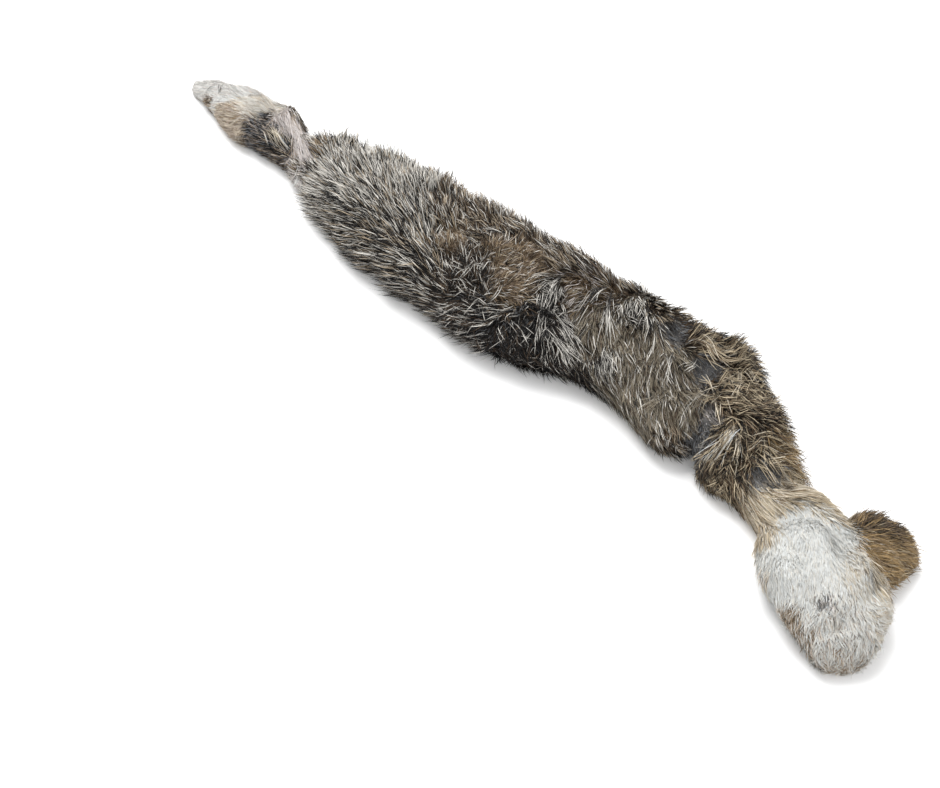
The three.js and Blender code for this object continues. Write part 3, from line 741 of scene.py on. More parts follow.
def round_end(end: Array, inner: Array) -> Array:
    """Makes the shrinking sections past one end.

    Args:
        end: The last section of that end.
        inner: A section further in, for the direction.

    Returns:
        The sections from the end outwards.
    """
    centre = (end[0:2] + end[2:4]) / 2
    outwards = unit(centre - (inner[0:2] + inner[2:4]) / 2)
    half = (end[2:4] - end[0:2]) / 2
    reach = END_REACH * 2 * np.linalg.norm(half)
    sections = []
    for angle in np.linspace(0, math.pi / 2, END_STEPS + 2)[1:-1]:
        size, share = math.cos(angle), math.sin(angle)
        place = centre + outwards * reach * share
        height = end[4] * (END_LOWEST + (1 - END_LOWEST) * size)
        sections.append([*(place - half * size), *(place + half * size), height, end[5]])
    return np.array(sections)


def sum_forms(forms: tuple[Form, ...], x: Array, y: Array) -> Array:
    """Adds up soft oval forms at points of the row frame.

    Args:
        forms: The forms.
        x: Millimetres along X.
        y: Millimetres along Y.

    Returns:
        The sum of their rises.
    """
    rise = np.zeros_like(x)
    for form in forms:
        turn = math.radians(form.turn)
        dx, dy = x - (form.x - BOX_CENTRE[0]), y - (form.y - BOX_CENTRE[1])
        along = dx * math.cos(turn) + dy * math.sin(turn)
        across = dy * math.cos(turn) - dx * math.sin(turn)
        rise += form.rise * np.exp(-((along / form.long) ** 2) - (across / form.wide) ** 2)
    return rise


def packed_share(x: Array, y: Array) -> Array:
    """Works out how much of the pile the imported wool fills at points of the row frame.

    Args:
        x: Millimetres along X.
        y: Millimetres along Y.

    Returns:
        A share from 0 to `PACKED_MOST`.
    """
    return np.clip(sum_forms(PACKED, x, y), 0, PACKED_MOST)


def wave_rise(along: Array, across: Array) -> Array:
    """Adds up the waves of the clumps.

    Args:
        along: Millimetres along the pelt.
        across: Millimetres from the far edge.

    Returns:
        The rise in millimetres.
    """
    rise = np.zeros_like(along + across)
    for wave in WAVES:
        turns = along / wave.along + across / wave.across + wave.phase
        rise += wave.rise * np.sin(2 * math.pi * turns)
    return rise


@dataclass
class FoldedForm:
    """The folded pelt or its flap, as rings of points round each station."""

    stations: Stations

    def pile(self) -> Array:
        """Works out how deep the standing pile is at each station."""
        return np.clip(PILE_SHARE * self.stations.height, PILE_LEAST, PILE_MOST)

    def _place(self, across: Array, z: Array) -> Array:
        """Puts points of the sections into the row frame.

        Args:
            across: Millimetres from the far edge, one row a station.
            z: Heights, one row a station.

        Returns:
            The points.
        """
        st = self.stations
        cross = unit(st.near - st.far)[:, None, :]
        flat = st.far[:, None, :] + cross * across[:, :, None]
        return np.concatenate([flat, np.maximum(z, 0)[:, :, None]], axis=2)

    def crown(self, inset: Array) -> Array:
        """Makes the upper furry side, closer to the surface where the wool is packed."""
        loose = self._over(inset[:, None])
        return self._over(inset[:, None] * (1 - packed_share(loose[:, :, 0], loose[:, :, 1])))

    def _over(self, inset: Array) -> Array:
        """Makes a surface from the far lip over to the near fold.

        Args:
            inset: How far inside the fur's surface it lies, stations by cuts.

        Returns:
            Points, stations by cuts by 3.
        """
        st = self.stations
        width, height = st.width[:, None], st.height[:, None]
        angle = np.linspace(0, math.pi, CROWN_CUTS + 1)[None, :]
        exponent = 2 / CROWN_POWER
        share = 0.5 - 0.5 * signed_power(np.cos(angle), exponent)
        lift = signed_power(np.sin(angle), exponent)
        low = WIDEST_AT * height + self.half_gap()[:, None]
        across = inset + share * np.maximum(width - 2 * inset, LEAST_SPAN)
        z = low + np.maximum(height - inset - low, LEAST_RISE) * lift
        spot = self._place(across, z)
        relief = sum_forms(FORMS, spot[:, :, 0], spot[:, :, 1])
        relief = st.fade[:, None] * (relief + wave_rise(st.along[:, None], across))
        across = across - relief * np.cos(angle) * np.sin(angle)
        return self._place(across, z + relief * np.sin(angle))

    def core(self) -> Array:
        """Gives a point inside the form at each station."""
        st = self.stations
        return np.column_stack([(st.far + st.near) / 2, WIDEST_AT * st.height])

    def half_gap(self) -> Array:
        """Gives half the slit's height at each station."""
        return np.minimum(SLIT_GAP, SLIT_SHARE * WIDEST_AT * self.stations.height) / 2

    def _quarter(self) -> tuple[Stations, Array, Array]:
        """Gives the stations, the angles of a quarter turn and the widths, for both edges."""
        angle = np.linspace(0, math.pi / 2, EDGE_CUTS + 1)[None, :]
        return self.stations, angle, self.stations.width[:, None]

    def near_edge(self, inset: Array) -> Array:
        """Makes the fold's underside from its widest line down to the floor.

        Args:
            inset: How far inside the fur's surface it lies, a value a station.

        Returns:
            Points, stations by cuts by 3.
        """
        st, angle, width = self._quarter()
        share = FLOOR_NEAR + (1 - FLOOR_NEAR) * np.cos(angle)
        across = np.maximum(share * width - inset[:, None], NEAR_LIMIT * width)
        z = WIDEST_AT * st.height[:, None] * (1 - np.sin(angle))
        return self._place(across, np.maximum(z, FLOOR_CLEARANCE))

    def far_edge(self, inset: Array) -> Array:
        """Makes the lower layer's far side from the floor up to its lip.

        Args:
            inset: How far inside the fur's surface it lies, a value a station.

        Returns:
            Points, stations by cuts by 3.
        """
        st, angle, width = self._quarter()
        share = FLOOR_FAR * (1 - np.sin(angle))
        across = np.minimum(share * width + inset[:, None], FAR_LIMIT * width)
        top = (WIDEST_AT * st.height - self.half_gap())[:, None]
        z = top * (1 - np.cos(angle))
        return self._place(across, np.maximum(z, FLOOR_CLEARANCE))

    def slit(self, lip: Array, away: float) -> tuple[Array, Array]:
        """Makes both walls of the slit between the layers.

        Args:
            lip: Where the walls start, in millimetres from the far edge, a value a station.
            away: How far the walls lie from the flesh sides, into the layers.

        Returns:
            The lower wall inwards and the upper wall outwards, stations by cuts by 3.
        """
        st = self.stations
        share = np.linspace(0, 1, SLIT_CUTS + 1)[None, :]
        deep = np.maximum(st.slit * st.width + away, lip + LEAST_SPAN)[:, None]
        across = lip[:, None] + (deep - lip[:, None]) * share
        widest = (WIDEST_AT * st.height)[:, None] + 0 * across
        gap = (self.half_gap() + away)[:, None]
        return self._place(across, widest - gap), self._place(across, widest + gap)[:, ::-1]


def ring_faces(rings: Array) -> tuple[Array, list[list[int]]]:
    """Joins rings of points into a closed skin, with flat fans over both ends.

    Args:
        rings: Points, stations by ring by 3.

    Returns:
        The points and the faces.
    """
    count, ring, _ = rings.shape
    caps = np.stack([rings[0].mean(axis=0), rings[-1].mean(axis=0)])
    points = np.vstack([rings.reshape(-1, 3), caps])
    row = np.arange(count - 1)[:, None] * ring
    index = np.arange(ring)[None, :]
    after = (index + 1) % ring
    quads = np.stack([row + index, row + after, row + after + ring, row + index + ring], axis=2)
    faces = quads.reshape(-1, 4).tolist()
    low, high = count * ring, count * ring + 1
    last = (count - 1) * ring
    for spot in range(ring):
        beyond = (spot + 1) % ring
        faces.append([beyond, spot, low])
        faces.append([last + spot, last + beyond, high])
    return points, faces


def link(name: str, data: bpy.types.ID) -> bpy.types.Object:
    """Puts new data into the scene as an object.

    Args:
        name: The object's name.
        data: A mesh, a lamp or a camera.

    Returns:
        The object.
    """
    made = bpy.data.objects.new(name, data)
    bpy.context.scene.collection.objects.link(made)
    return made


def grid_mesh(name: str, rings: Array) -> bpy.types.Object:
    """Makes one closed object from rings of points.

    Args:
        name: The object's name.
        rings: Points in millimetres, stations by ring by 3.

    Returns:
        The object, in metres.
    """
    points, faces = ring_faces(rings)
    mesh = bpy.data.meshes.new(name)
    mesh.from_pydata((points * MM).tolist(), [], faces)
    mesh.validate()
    mesh.polygons.foreach_set("use_smooth", np.ones(len(mesh.polygons), dtype=bool))
    return face_outwards(link(name, mesh))


def face_outwards(made: bpy.types.Object) -> bpy.types.Object:
    """Turns the faces of a closed object to point outwards.

    Args:
        made: The object.

    Returns:
        The same object.
    """
    bpy.ops.object.select_all(action="DESELECT")
    made.select_set(True)
    bpy.context.view_layer.objects.active = made
    bpy.ops.object.mode_set(mode="EDIT")
    bpy.ops.mesh.select_all(action="SELECT")
    bpy.ops.mesh.normals_make_consistent(inside=False)
    bpy.ops.object.mode_set(mode="OBJECT")
    made.select_set(False)
    return made


@dataclass
class FurMap:
    """Looks up the zones of the fur at points of the pelt."""

    rng: np.random.Generator

    def weights(self, points: Array) -> Array:
        """Works out how much each zone counts at each point.

        Args:
            points: Points in millimetres.

        Returns:
            Weights that add up to 1, points by zones.
        """
        spots = np.array([[zone.x, zone.y] for zone in ZONES])
        reach = np.array([zone.reach for zone in ZONES]) * ZONE_REACH
        away = np.linalg.norm(points[:, None, :2] - spots[None], axis=2) / reach[None]
        weights = np.exp(-(away**2)) + ZONE_FLOOR / (1 + away**4)
        return weights / weights.sum(axis=1, keepdims=True)

    def blend(self, weights: Array, key: str) -> Array:
        """Blends one number of the zones."""
        return weights @ np.array([getattr(zone, key) for zone in ZONES], dtype=float)

    def headings(self, weights: Array) -> Array:
        """Blends the directions in which the tips point."""
        turns = np.radians([zone.heading for zone in ZONES])
        return np.arctan2(weights @ np.sin(turns), weights @ np.cos(turns))

    def tones(self, weights: Array, wool: bool) -> Array:
        """Picks a dye for each point from the coats of its zones.

        Args:
            weights: Weights from `weights`.
            wool: True for the wool, False for the guard hair.

        Returns:
            One tone number a point.
        """
        sharp = np.cumsum(weights**ZONE_SHARPNESS, axis=1)
        pick = self.rng.random(len(weights)) * sharp[:, -1]
        zone = np.minimum((sharp < pick[:, None]).sum(axis=1), len(ZONES) - 1)
        coats = [z.wool if wool else z.guard for z in ZONES]
        chances = self.rng.random(len(zone))
        return np.array([pick_tone(coats[z], chance) for z, chance in zip(zone, chances)])


def dye_values(key: str, tones: Array) -> Array:
    """Looks up one number of each hair's dye.

    Args:
        key: The name of the number in `Dye`.
        tones: The tone number of each hair.

    Returns:
        One value a hair.
    """
    return np.array([getattr(DYES[tone], key) for tone in Tone])[tones]


def pick_tone(coat: Coat, chance: float) -> int:
    """Picks one dye of a coat.

    Args:
        coat: The coat.
        chance: A number from 0 to 1.

    Returns:
        The tone's number.
    """
    total = sum(share for _, share in coat.value)
    reached = 0.0
    for tone, share in coat.value:
        reached += share / total
        if chance <= reached:
            return tone.value
    return coat.value[-1][0].value


@dataclass
class Roots:
    """Where hairs grow: points, outward normals and the fur map's weights there."""

    points: Array
    normals: Array
    weights: Array


def scatter(
    bands: list[Array], count: int, fur: FurMap, rng: np.random.Generator, bare: float
) -> Roots:
    """Spreads roots over furry bands, evenly by area and denser where the zones say so.

    Args:
        bands: Grids of points in millimetres.
        count: How many roots.
        fur: The fur map.
        rng: The random numbers.
        bare: How much the zones' cover counts, from 0 to 1.

    Returns:
        The roots.
    """
    corners, normals, areas = [], [], []
    for band in bands:
        a, b, c, d = band[:-1, :-1], band[:-1, 1:], band[1:, 1:], band[1:, :-1]
        across = np.cross(c - a, d - b)
        corners.append(np.stack([a, b, c, d], axis=2).reshape(-1, 4, 3))
        areas.append(np.linalg.norm(across, axis=2).ravel() / 2)
        normals.append(unit(across).reshape(-1, 3))
    corner, normal, area = np.concatenate(corners), np.concatenate(normals), np.concatenate(areas)
    cover = fur.blend(fur.weights(corner.mean(axis=1)), "cover")
    weight = area * (1 - bare + bare * cover)
    total = np.cumsum(weight)
    cell = np.searchsorted(total, rng.random(count) * total[-1])
    cell = np.minimum(cell, len(area) - 1)
    u, v = rng.random((count, 1)), rng.random((count, 1))
    four = corner[cell]
    points = (1 - u) * ((1 - v) * four[:, 0] + v * four[:, 1])
    points += u * ((1 - v) * four[:, 3] + v * four[:, 2])
    return Roots(points, normal[cell], fur.weights(points))


@dataclass(frozen=True)
class HairKind:
    """How one kind of hair is made.

    Width is in millimetres. The lengths multiply the zones' own. Clump is how many hairs share a
    tip, and gather how strongly they do.
    """

    name: str
    knots: tuple[float, ...]
    width: float
    stretch: float
    lift_root: float
    clump: int
    gather: float
    droop: float
    wave: float
    wool: bool


GUARD = HairKind("guard", (0.0, 0.38, 0.74, 1.0), 0.46, 1.08, 20.0, 5, 0.34, 0.1, 0.7, False)
WOOL = HairKind("wool", (0.0, 0.5, 1.0), 0.58, 0.55, 28.0, 4, 0.25, 0.08, 1.1, True)


@dataclass
class Hairs:
    """Hairs as points along each one, with a side and a width, tones and shades."""

    paths: Array
    sides: Array
    widths: Array
    knots: tuple[float, ...]
    tones: Array
    shades: Array

    def blades(self, name: str) -> bpy.types.Object:
        """Makes one object with a tapering blade for each hair.

        Args:
            name: The object's name.

        Returns:
            The object, with its map.
        """
        count, knots, _ = self.paths.shape
        pairs = knots - 1
        half = self.sides[:, None] * (self.widths / 2)[:, :, None]
        left, right = self.paths[:, :pairs] - half, self.paths[:, :pairs] + half
        body = np.stack([left, right], axis=2).reshape(count, -1, 3)
        points = np.concatenate([body, self.paths[:, pairs:]], axis=1)
        per_hair = 2 * pairs + 1
        loops, sizes = [], []
        for step in range(pairs - 1):
            low = 2 * step
            loops += [low, low + 1, low + 3, low + 2]
            sizes.append(4)
        loops += [2 * pairs - 2, 2 * pairs - 1, 2 * pairs]
        sizes.append(3)
        index = (np.arange(count)[:, None] * per_hair + np.array(loops)[None]).ravel()
        totals = np.tile(sizes, count)
        mesh = bpy.data.meshes.new(name)
        mesh.vertices.add(count * per_hair)
        mesh.vertices.foreach_set("co", (points * MM).ravel())
        mesh.loops.add(len(index))
        mesh.loops.foreach_set("vertex_index", index)
        mesh.polygons.add(len(totals))
        mesh.polygons.foreach_set("loop_start", np.concatenate([[0], np.cumsum(totals)[:-1]]))
        mesh.polygons.foreach_set("use_smooth", np.ones(len(totals), dtype=bool))
        mesh.update(calc_edges=True)
        self._map(mesh, np.array(loops), count, pairs)
        return link(name, mesh)

    def _map(self, mesh: bpy.types.Mesh, loops: Array, count: int, pairs: int) -> None:
        """Writes the map: the tone's column and shade across, root to tip upwards.

        Args:
            mesh: The blades' mesh.
            loops: Corner numbers of one blade.
            count: How many blades; not used.
            pairs: How many pairs of points a blade has.
        """
        up = np.concatenate([np.repeat(np.array(self.knots[:pairs]), 2), [1.0]])
        aside = np.concatenate([np.tile([-1.0, 1.0], pairs), [0.0]])
        column = (self.tones + COLUMN_SPAN[0] + COLUMN_SPAN[1] * self.shades) / len(Tone)
        u = column[:, None] + BLADE_HALF * aside[loops][None]
        v = np.broadcast_to(MAP_SPAN[0] + MAP_SPAN[1] * up[loops][None], u.shape)
        layer = mesh.uv_layers.new(name="OFBake")
        layer.data.foreach_set("uv", np.stack([u, v], axis=2).ravel())


def vary(
    limits: tuple[float, float], rng: np.random.Generator, count: int | None = None
) -> Array | float:
    """Draws even numbers from a least value upwards.

    Args:
        limits: The least value and how much is added to it at most.
        rng: The random numbers.
        count: How many, or None for a single one.

    Returns:
        The numbers.
    """
    return limits[0] + limits[1] * rng.random(count)


def turned_sides(path: Array, upright: Array, roll: Array) -> Array:
    """Works out which way the flat of each blade runs across its hair.

    Args:
        path: Points along each hair.
        upright: The way that the blades' faces look before they roll.
        roll: How far each blade rolls about its hair, in radians.

    Returns:
        Unit vectors, one a hair.
    """
    ahead = unit(path[:, -1] - path[:, 0])
    side = unit(np.cross(ahead, upright))
    return side * np.cos(roll)[:, None] + np.cross(side, ahead) * np.sin(roll)[:, None]


def direction(lie: Array, normal: Array, lift: Array) -> Array:
    """Lifts directions off the skin.

    Args:
        lie: Directions along the skin.
        normal: Directions out of the skin.
        lift: Angles off the skin in radians.

    Returns:
        Unit vectors.
    """
    return unit(lie * np.cos(lift)[:, None] + normal * np.sin(lift)[:, None])


def grow(
    roots: Roots, kind: HairKind, fur: FurMap, shell: "Shell", rng: np.random.Generator
) -> Hairs:
    """Grows hairs of one kind from their roots.

    Args:
        roots: The roots.
        kind: The kind of hair.
        fur: The fur map.
        shell: The fur's surface, which the tips stay close to.
        rng: The random numbers.

    Returns:
        The hairs.
    """
    count = len(roots.points)
    mess = np.radians(fur.blend(roots.weights, "mess"))
    lift = np.radians(fur.blend(roots.weights, "lift"))
    length = fur.blend(roots.weights, "length") * kind.stretch
    heading = fur.headings(roots.weights)
    group, seeds = clumps(roots.points, kind.clump, rng)
    many = len(seeds)
    turn = CLUMP_TURN * rng.normal(size=many)[group] + HAIR_TURN * rng.normal(size=count)
    heading = heading + mess * turn
    rise = CLUMP_LIFT * rng.normal(size=many)[group] + HAIR_LIFT * rng.normal(size=count)
    lift = np.clip(lift + LIFT_MESS * mess * rise, *LIFT_RANGE)
    length = length * vary(CLUMP_LENGTH, rng, many)[group] * vary(HAIR_LENGTH, rng, count)
    flat = np.stack([np.cos(heading), np.sin(heading), np.zeros(count)], axis=1)
    normal = roots.normals
    lie = unit(flat - normal * (flat * normal).sum(axis=1, keepdims=True))
    start = direction(lie, normal, lift + math.radians(kind.lift_root))
    end = direction(lie, normal, lift * TIP_LIFT)
    end[:, 2] -= kind.droop
    share = np.array(kind.knots)[None, :, None]
    path = roots.points[:, None] + length[:, None, None] * (
        start[:, None] * share + 0.5 * (end - start)[:, None] * share**2
    )
    tip = path[:, -1]
    pull = (kind.gather * (GATHER_LEAST + rng.random(many)))[group][:, None]
    reach = tip[seeds[group]] - tip
    path = path + pull[:, None] * reach[:, None] * share**GATHER_POWER
    side = unit(np.cross(end, normal))
    sway = kind.wave * rng.normal(size=(count, 1, 1)) * np.sin(math.pi * share)
    path = path + sway * side[:, None] * (length / WAVE_LENGTH)[:, None, None]
    stray = np.where(rng.random(count) < STRAY_SHARE, STRAY_FREEDOM, 1.0)
    free = TIP_FREEDOM * length * np.sin(lift) * (LEAST_FREEDOM + rng.random(count)) * stray
    path = shell.press(path, free, share)
    path[:, :, 2] = np.maximum(path[:, :, 2], FLOOR_CLEARANCE)
    tones = fur.tones(roots.weights, kind.wool)
    even, fine = dye_values("spread", tones), dye_values("width", tones)
    roll = rng.normal(size=count) * HAIR_ROLL * even
    taper = np.array(HAIR_TAPER)[: len(kind.knots) - 1]
    width = kind.width * (fine * vary(HAIR_WIDTH, rng, count))[:, None] * taper[None]
    # Painted light and shade of the clumps, then random tone of each clump and hair
    shade = painted_clump_light(roots.points) + CLUMP_SHADE * rng.normal(size=many)[group]
    shade = MIDDLE_SHADE + even * (shade + HAIR_SHADE * rng.normal(size=count))
    sides = turned_sides(path, normal, roll)
    return Hairs(path, sides, width, kind.knots, tones, np.clip(shade, 0, 1))


def painted_clump_light(points: Array) -> Array:
    """Gives soft patches of painted light and shade for the clumps, from waves of a few
    millimetres.

    Args:
        points: Points in millimetres.

    Returns:
        What to add to the shade of each.
    """
    x, y = points[:, 0], points[:, 1]
    broad = np.sin(x / 5.1 + 1.3 * np.sin(y / 7.3)) + np.sin(y / 4.3 - x / 9.7 + 0.8)
    small = np.sin(x / 2.1 - y / 2.9) * np.sin(y / 1.9 + x / 3.7)
    return BROAD_PAINTED_LIGHT * broad + SMALL_PAINTED_LIGHT * small


def clumps(points: Array, size: int, rng: np.random.Generator) -> tuple[Array, Array]:
    """Gathers points into clumps round randomly chosen ones.

    Args:
        points: The points.
        size: How many make a clump.
        rng: The random numbers.

    Returns:
        The clump of each point, and the point at the middle of each clump.
    """
    seeds = rng.choice(len(points), max(len(points) // size, 1), replace=False)
    tree = KDTree(len(seeds))
    for index, seed in enumerate(seeds):
        tree.insert(points[seed], index)
    tree.balance()
    group = np.array([tree.find(point)[1] for point in points])
    return group, seeds


@dataclass
class Shell:
    """The fur's outer surface, in millimetres."""

    tree: BVHTree

    @classmethod
    def around(cls, form: "FoldedForm") -> "Shell":
        """Makes the shell of a form.

        Args:
            form: The form.

        Returns:
            The shell.
        """
        flush = np.zeros(len(form.stations.height))
        edge, far = form.near_edge(flush), form.far_edge(flush)
        rings = np.concatenate([form.crown(flush), edge[:, 1:], far[:, :-1]], axis=1)
        points, faces = ring_faces(rings)
        return cls(BVHTree.FromPolygons(points.tolist(), faces))

    def press(self, path: Array, free: Array, share: Array) -> Array:
        """Bends hairs down where their tips stand too far out of the shell.

        Args:
            path: Points along each hair.
            free: How far each tip may stand out.
            share: The points' shares of the length.

        Returns:
            The bent hairs.
        """
        near = [self.tree.find_nearest(tip) for tip in path[:, -1].tolist()]
        spot = np.array([tuple(hit[0]) for hit in near])
        out = path[:, -1] - spot
        away = np.linalg.norm(out, axis=1)
        normal = np.array([tuple(hit[1]) for hit in near])
        outside = (out * normal).sum(axis=1) > 0
        excess = np.where(outside, np.maximum(away - free, 0), 0)
        push = unit(out) * excess[:, None]
        return path - push[:, None] * share**PRESS_POWER

    def top(self, x: float, y: float) -> float | None:
        """Finds the highest point at a place."""
        hit = self.tree.ray_cast(Vector((x, y, RAY_START)), Vector((0, 0, -1)))[0]
        return None if hit is None else hit.z


def lay_strands(fans: tuple[Fan, ...], shells: list[Shell], rng: np.random.Generator) -> Hairs:
    """Lays the long strands of the fans over the fur.

    Args:
        fans: The fans.
        shells: The surfaces that they lie on.
        rng: The random numbers.

    Returns:
        The strands as hairs.
    """
    paths, tones, widths, shades = [], [], [], []
    for fan in fans:
        middle = math.radians((fan.start + fan.end) / 2)
        for number in range(fan.count):
            if number % STRANDS_A_LOCK == 0:
                around, out = rng.random() * 2 * math.pi, math.sqrt(rng.random()) * fan.reach
                along = fan.run * rng.random()
                lock_x = fan.x + out * math.cos(around) + along * math.cos(middle)
                lock_y = fan.y + out * math.sin(around) + along * math.sin(middle)
                lock_heading = math.radians(fan.start + (fan.end - fan.start) * rng.random())
                lock_bend = math.radians(fan.curl) + rng.normal() * LOCK_BEND
                lock_length = fan.length * vary(LOCK_LENGTH, rng)
            off_x, off_y = rng.normal() * LOCK_JITTER, rng.normal() * LOCK_JITTER
            spot = Vector((lock_x + off_x, lock_y + off_y))
            heading = lock_heading + rng.normal() * STRAND_TURN
            length = lock_length * vary(STRAND_LENGTH, rng)
            path = strand_path(spot, heading, lock_bend, length, shells, fan.spill, rng)
            if path is None:
                continue
            paths.append(path)
            tones.append(pick_tone(fan.coat, rng.random()))
            widths.append(vary(STRAND_WIDTH, rng) * (SPILL_WIDTH if fan.spill else 1.0))
            shades.append(vary(STRAND_SHADE, rng))
    path = np.array(paths)
    roll = rng.normal(size=len(path)) * STRAND_ROLL
    sides = turned_sides(path, np.array([0.0, 0.0, 1.0]), roll)
    width = np.array(widths)[:, None] * np.array(STRAND_TAPER)[None]
    return Hairs(path, sides, width, STRAND_KNOTS, np.array(tones), np.array(shades))


def strand_path(
    root: Vector,
    heading: float,
    bend: float,
    length: float,
    shells: list[Shell],
    spill: float,
    rng: np.random.Generator,
) -> Array | None:
    """Lays one strand over the fur, its root in the pile and its tip a little free.

    Args:
        root: Where it starts, in millimetres.
        heading: The direction in radians.
        bend: How much the direction turns along the strand.
        length: Millimetres.
        shells: The surfaces that it lies on.
        spill: How far the tip may run past the edge, in millimetres.
        rng: The random numbers.

    Returns:
        The points, or None where too little of the strand would lie on the fur.
    """
    free = STRAND_FREEDOM[0] + STRAND_FREEDOM[1] * rng.random() ** 2
    for _ in range(STRAND_TRIES):
        spot, path, reached, past = root.copy(), [], 0.0, 0.0
        for knot in STRAND_KNOTS:
            turn = heading + bend * knot
            step = (knot - reached) * length
            spot += Vector((math.cos(turn), math.sin(turn))) * step
            reached = knot
            found = [shell.top(spot.x, spot.y) for shell in shells]
            tops = [top for top in found if top is not None]
            if tops:
                arch = STRAND_ARCH * math.sin(math.pi * min(knot * ARCH_SHIFT, 1.0))
                height = max(tops) - STRAND_DEPTH * (1 - knot) + arch + free * knot
            elif len(path) > 1 and past + step <= spill:
                past += step
                height = path[-1][2] - SPILL_DROP * step
            else:
                break
            path.append([spot.x, spot.y, max(height, STRAND_LOWEST)])
        if len(path) == len(STRAND_KNOTS):
            return np.array(path)
        if len(path) < STRAND_LEAST_POINTS:
            return None
        length *= STRAND_KNOTS[len(path) - 1]
    return None


def feed(tree: bpy.types.NodeTree, target: bpy.types.NodeSocket, source: object) -> None:
    """Links a socket to an input, or sets a plain value on the input itself.

    Args:
        tree: The node tree.
        target: The input.
        source: A socket or a value.
    """
    if isinstance(source, bpy.types.NodeSocket):
        tree.links.new(source, target)
    else:
        target.default_value = source


def add_node(
    tree: bpy.types.NodeTree, kind: str, settings: dict | None = None, inputs: dict | None = None
) -> bpy.types.Node:
    """Adds a node, its settings first and then its values and links.

    Args:
        tree: The node tree.
        kind: The node's type.
        settings: Properties of the node.
        inputs: Values or sockets by input name or number.

    Returns:
        The node.
    """
    node = tree.nodes.new(kind)
    for key, value in (settings or {}).items():
        setattr(node, key, value)
    for key, source in (inputs or {}).items():
        feed(tree, node.inputs[key], source)
    return node


def maths(
    tree: bpy.types.NodeTree, operation: str, *values: bpy.types.NodeSocket | float
) -> bpy.types.NodeSocket:
    """Adds one step of arithmetic.

    Args:
        tree: The node tree.
        operation: The Math node's operation.
        values: Its inputs.

    Returns:
        The result's socket.
    """
    settings = {"operation": operation}
    return add_node(tree, "ShaderNodeMath", settings, dict(enumerate(values))).outputs[0]


def mix_colours(
    tree: bpy.types.NodeTree,
    share: bpy.types.NodeSocket | float,
    first: object,
    second: object,
    blend: str = "MIX",
) -> bpy.types.NodeSocket:
    """Mixes two colours.

    Args:
        tree: The node tree.
        share: How much of the second one.
        first: A colour or a socket.
        second: A colour or a socket.
        blend: The way of mixing.

    Returns:
        The mixed colour's socket.
    """
    settings = {"data_type": "RGBA", "blend_type": blend}
    inputs = {0: share, 6: first, 7: second}
    return add_node(tree, "ShaderNodeMix", settings, inputs).outputs[2]


def shaded(
    tree: bpy.types.NodeTree, colour: object, value: object, span: float, least: float
) -> bpy.types.NodeSocket:
    """Makes a colour lighter or darker.

    Args:
        tree: The node tree.
        colour: The colour.
        value: A value from 0 to 1.
        span: How much the value counts.
        least: What the colour is multiplied by where the value is 0.

    Returns:
        The new colour's socket.
    """
    bright = maths(tree, "ADD", maths(tree, "MULTIPLY", value, span), least)
    grey = add_node(tree, "ShaderNodeCombineColor", None, {0: bright, 1: bright, 2: bright})
    return mix_colours(tree, 1.0, colour, grey.outputs[0], "MULTIPLY")


def noise(tree: bpy.types.NodeTree, scale: float) -> bpy.types.NodeSocket:
    """Adds a noise that sits still on the object.

    Args:
        tree: The node tree.
        scale: How fine it is.

    Returns:
        The socket of its value, from 0 to 1.
    """
    place = add_node(tree, "ShaderNodeTexCoord").outputs["Object"]
    return add_node(tree, "ShaderNodeTexNoise", None, {"Vector": place, "Scale": scale}).outputs[0]


@dataclass(frozen=True)
class Finish:
    """One material: constants on its shader, and a colour that each kind of finish paints."""

    name: str
    roughness: float
    specular: float

    def paint(self, tree: bpy.types.NodeTree) -> bpy.types.NodeSocket | tuple[float, ...]:
        """Gives the colour: a socket where it varies, or a plain value where it is even."""
        raise NotImplementedError

    def material(self) -> bpy.types.Material:
        """Makes the material.

        Returns:
            The material.
        """
        material = bpy.data.materials.new(self.name)
        material.use_nodes = True
        tree = material.node_tree
        shader = tree.nodes["Principled BSDF"]
        shader.inputs["Roughness"].default_value = self.roughness
        shader.inputs["Specular IOR Level"].default_value = self.specular
        feed(tree, shader.inputs["Base Color"], self.paint(tree))
        return material


@dataclass(frozen=True)
class HairFinish(Finish):
    """The hair's look, read from the tone's column and the place along the hair."""

    name: str = "hair"
    roughness: float = 0.55
    specular: float = 0.2
    darkest: float = 0.36
    spread: float = 1.02
    root_ends: float = 0.12
    tip_starts: float = 0.97

    def paint(self, tree: bpy.types.NodeTree) -> bpy.types.NodeSocket:
        """Picks the dye by the column and shades it.

        Args:
            tree: The node tree.

        Returns:
            The colour's socket.
        """
        place = add_node(tree, "ShaderNodeUVMap", {"uv_map": "OFBake"})
        parts = add_node(tree, "ShaderNodeSeparateXYZ", None, {0: place.outputs[0]})
        column = maths(tree, "MULTIPLY", parts.outputs[0], float(len(Tone)))
        cell = maths(tree, "FLOOR", column)
        shade = maths(tree, "SUBTRACT", column, cell)
        colour: object = linear(DYES[Tone.SILVER].band)
        for tone in Tone:
            ramp = self._ramp(tree, DYES[tone], parts.outputs[1])
            chosen = maths(tree, "COMPARE", cell, float(tone.value), 0.5)
            colour = mix_colours(tree, chosen, colour, ramp)
        return shaded(tree, colour, shade, self.spread, self.darkest)

    def _ramp(
        self, tree: bpy.types.NodeTree, dye: Dye, along: bpy.types.NodeSocket
    ) -> bpy.types.NodeSocket:
        """Adds the colours of one dye from root to tip.

        Args:
            tree: The node tree.
            dye: The dye.
            along: The place along the hair.

        Returns:
            The colour's socket.
        """
        node = add_node(tree, "ShaderNodeValToRGB", None, {0: along})
        stops = node.color_ramp.elements
        stops[0].position, stops[0].color = self.root_ends, linear(dye.root)
        stops[1].position, stops[1].color = self.tip_starts, linear(dye.tip)
        for position in (dye.low, dye.high):
            stops.new(position).color = linear(dye.band)
        return node.outputs[0]


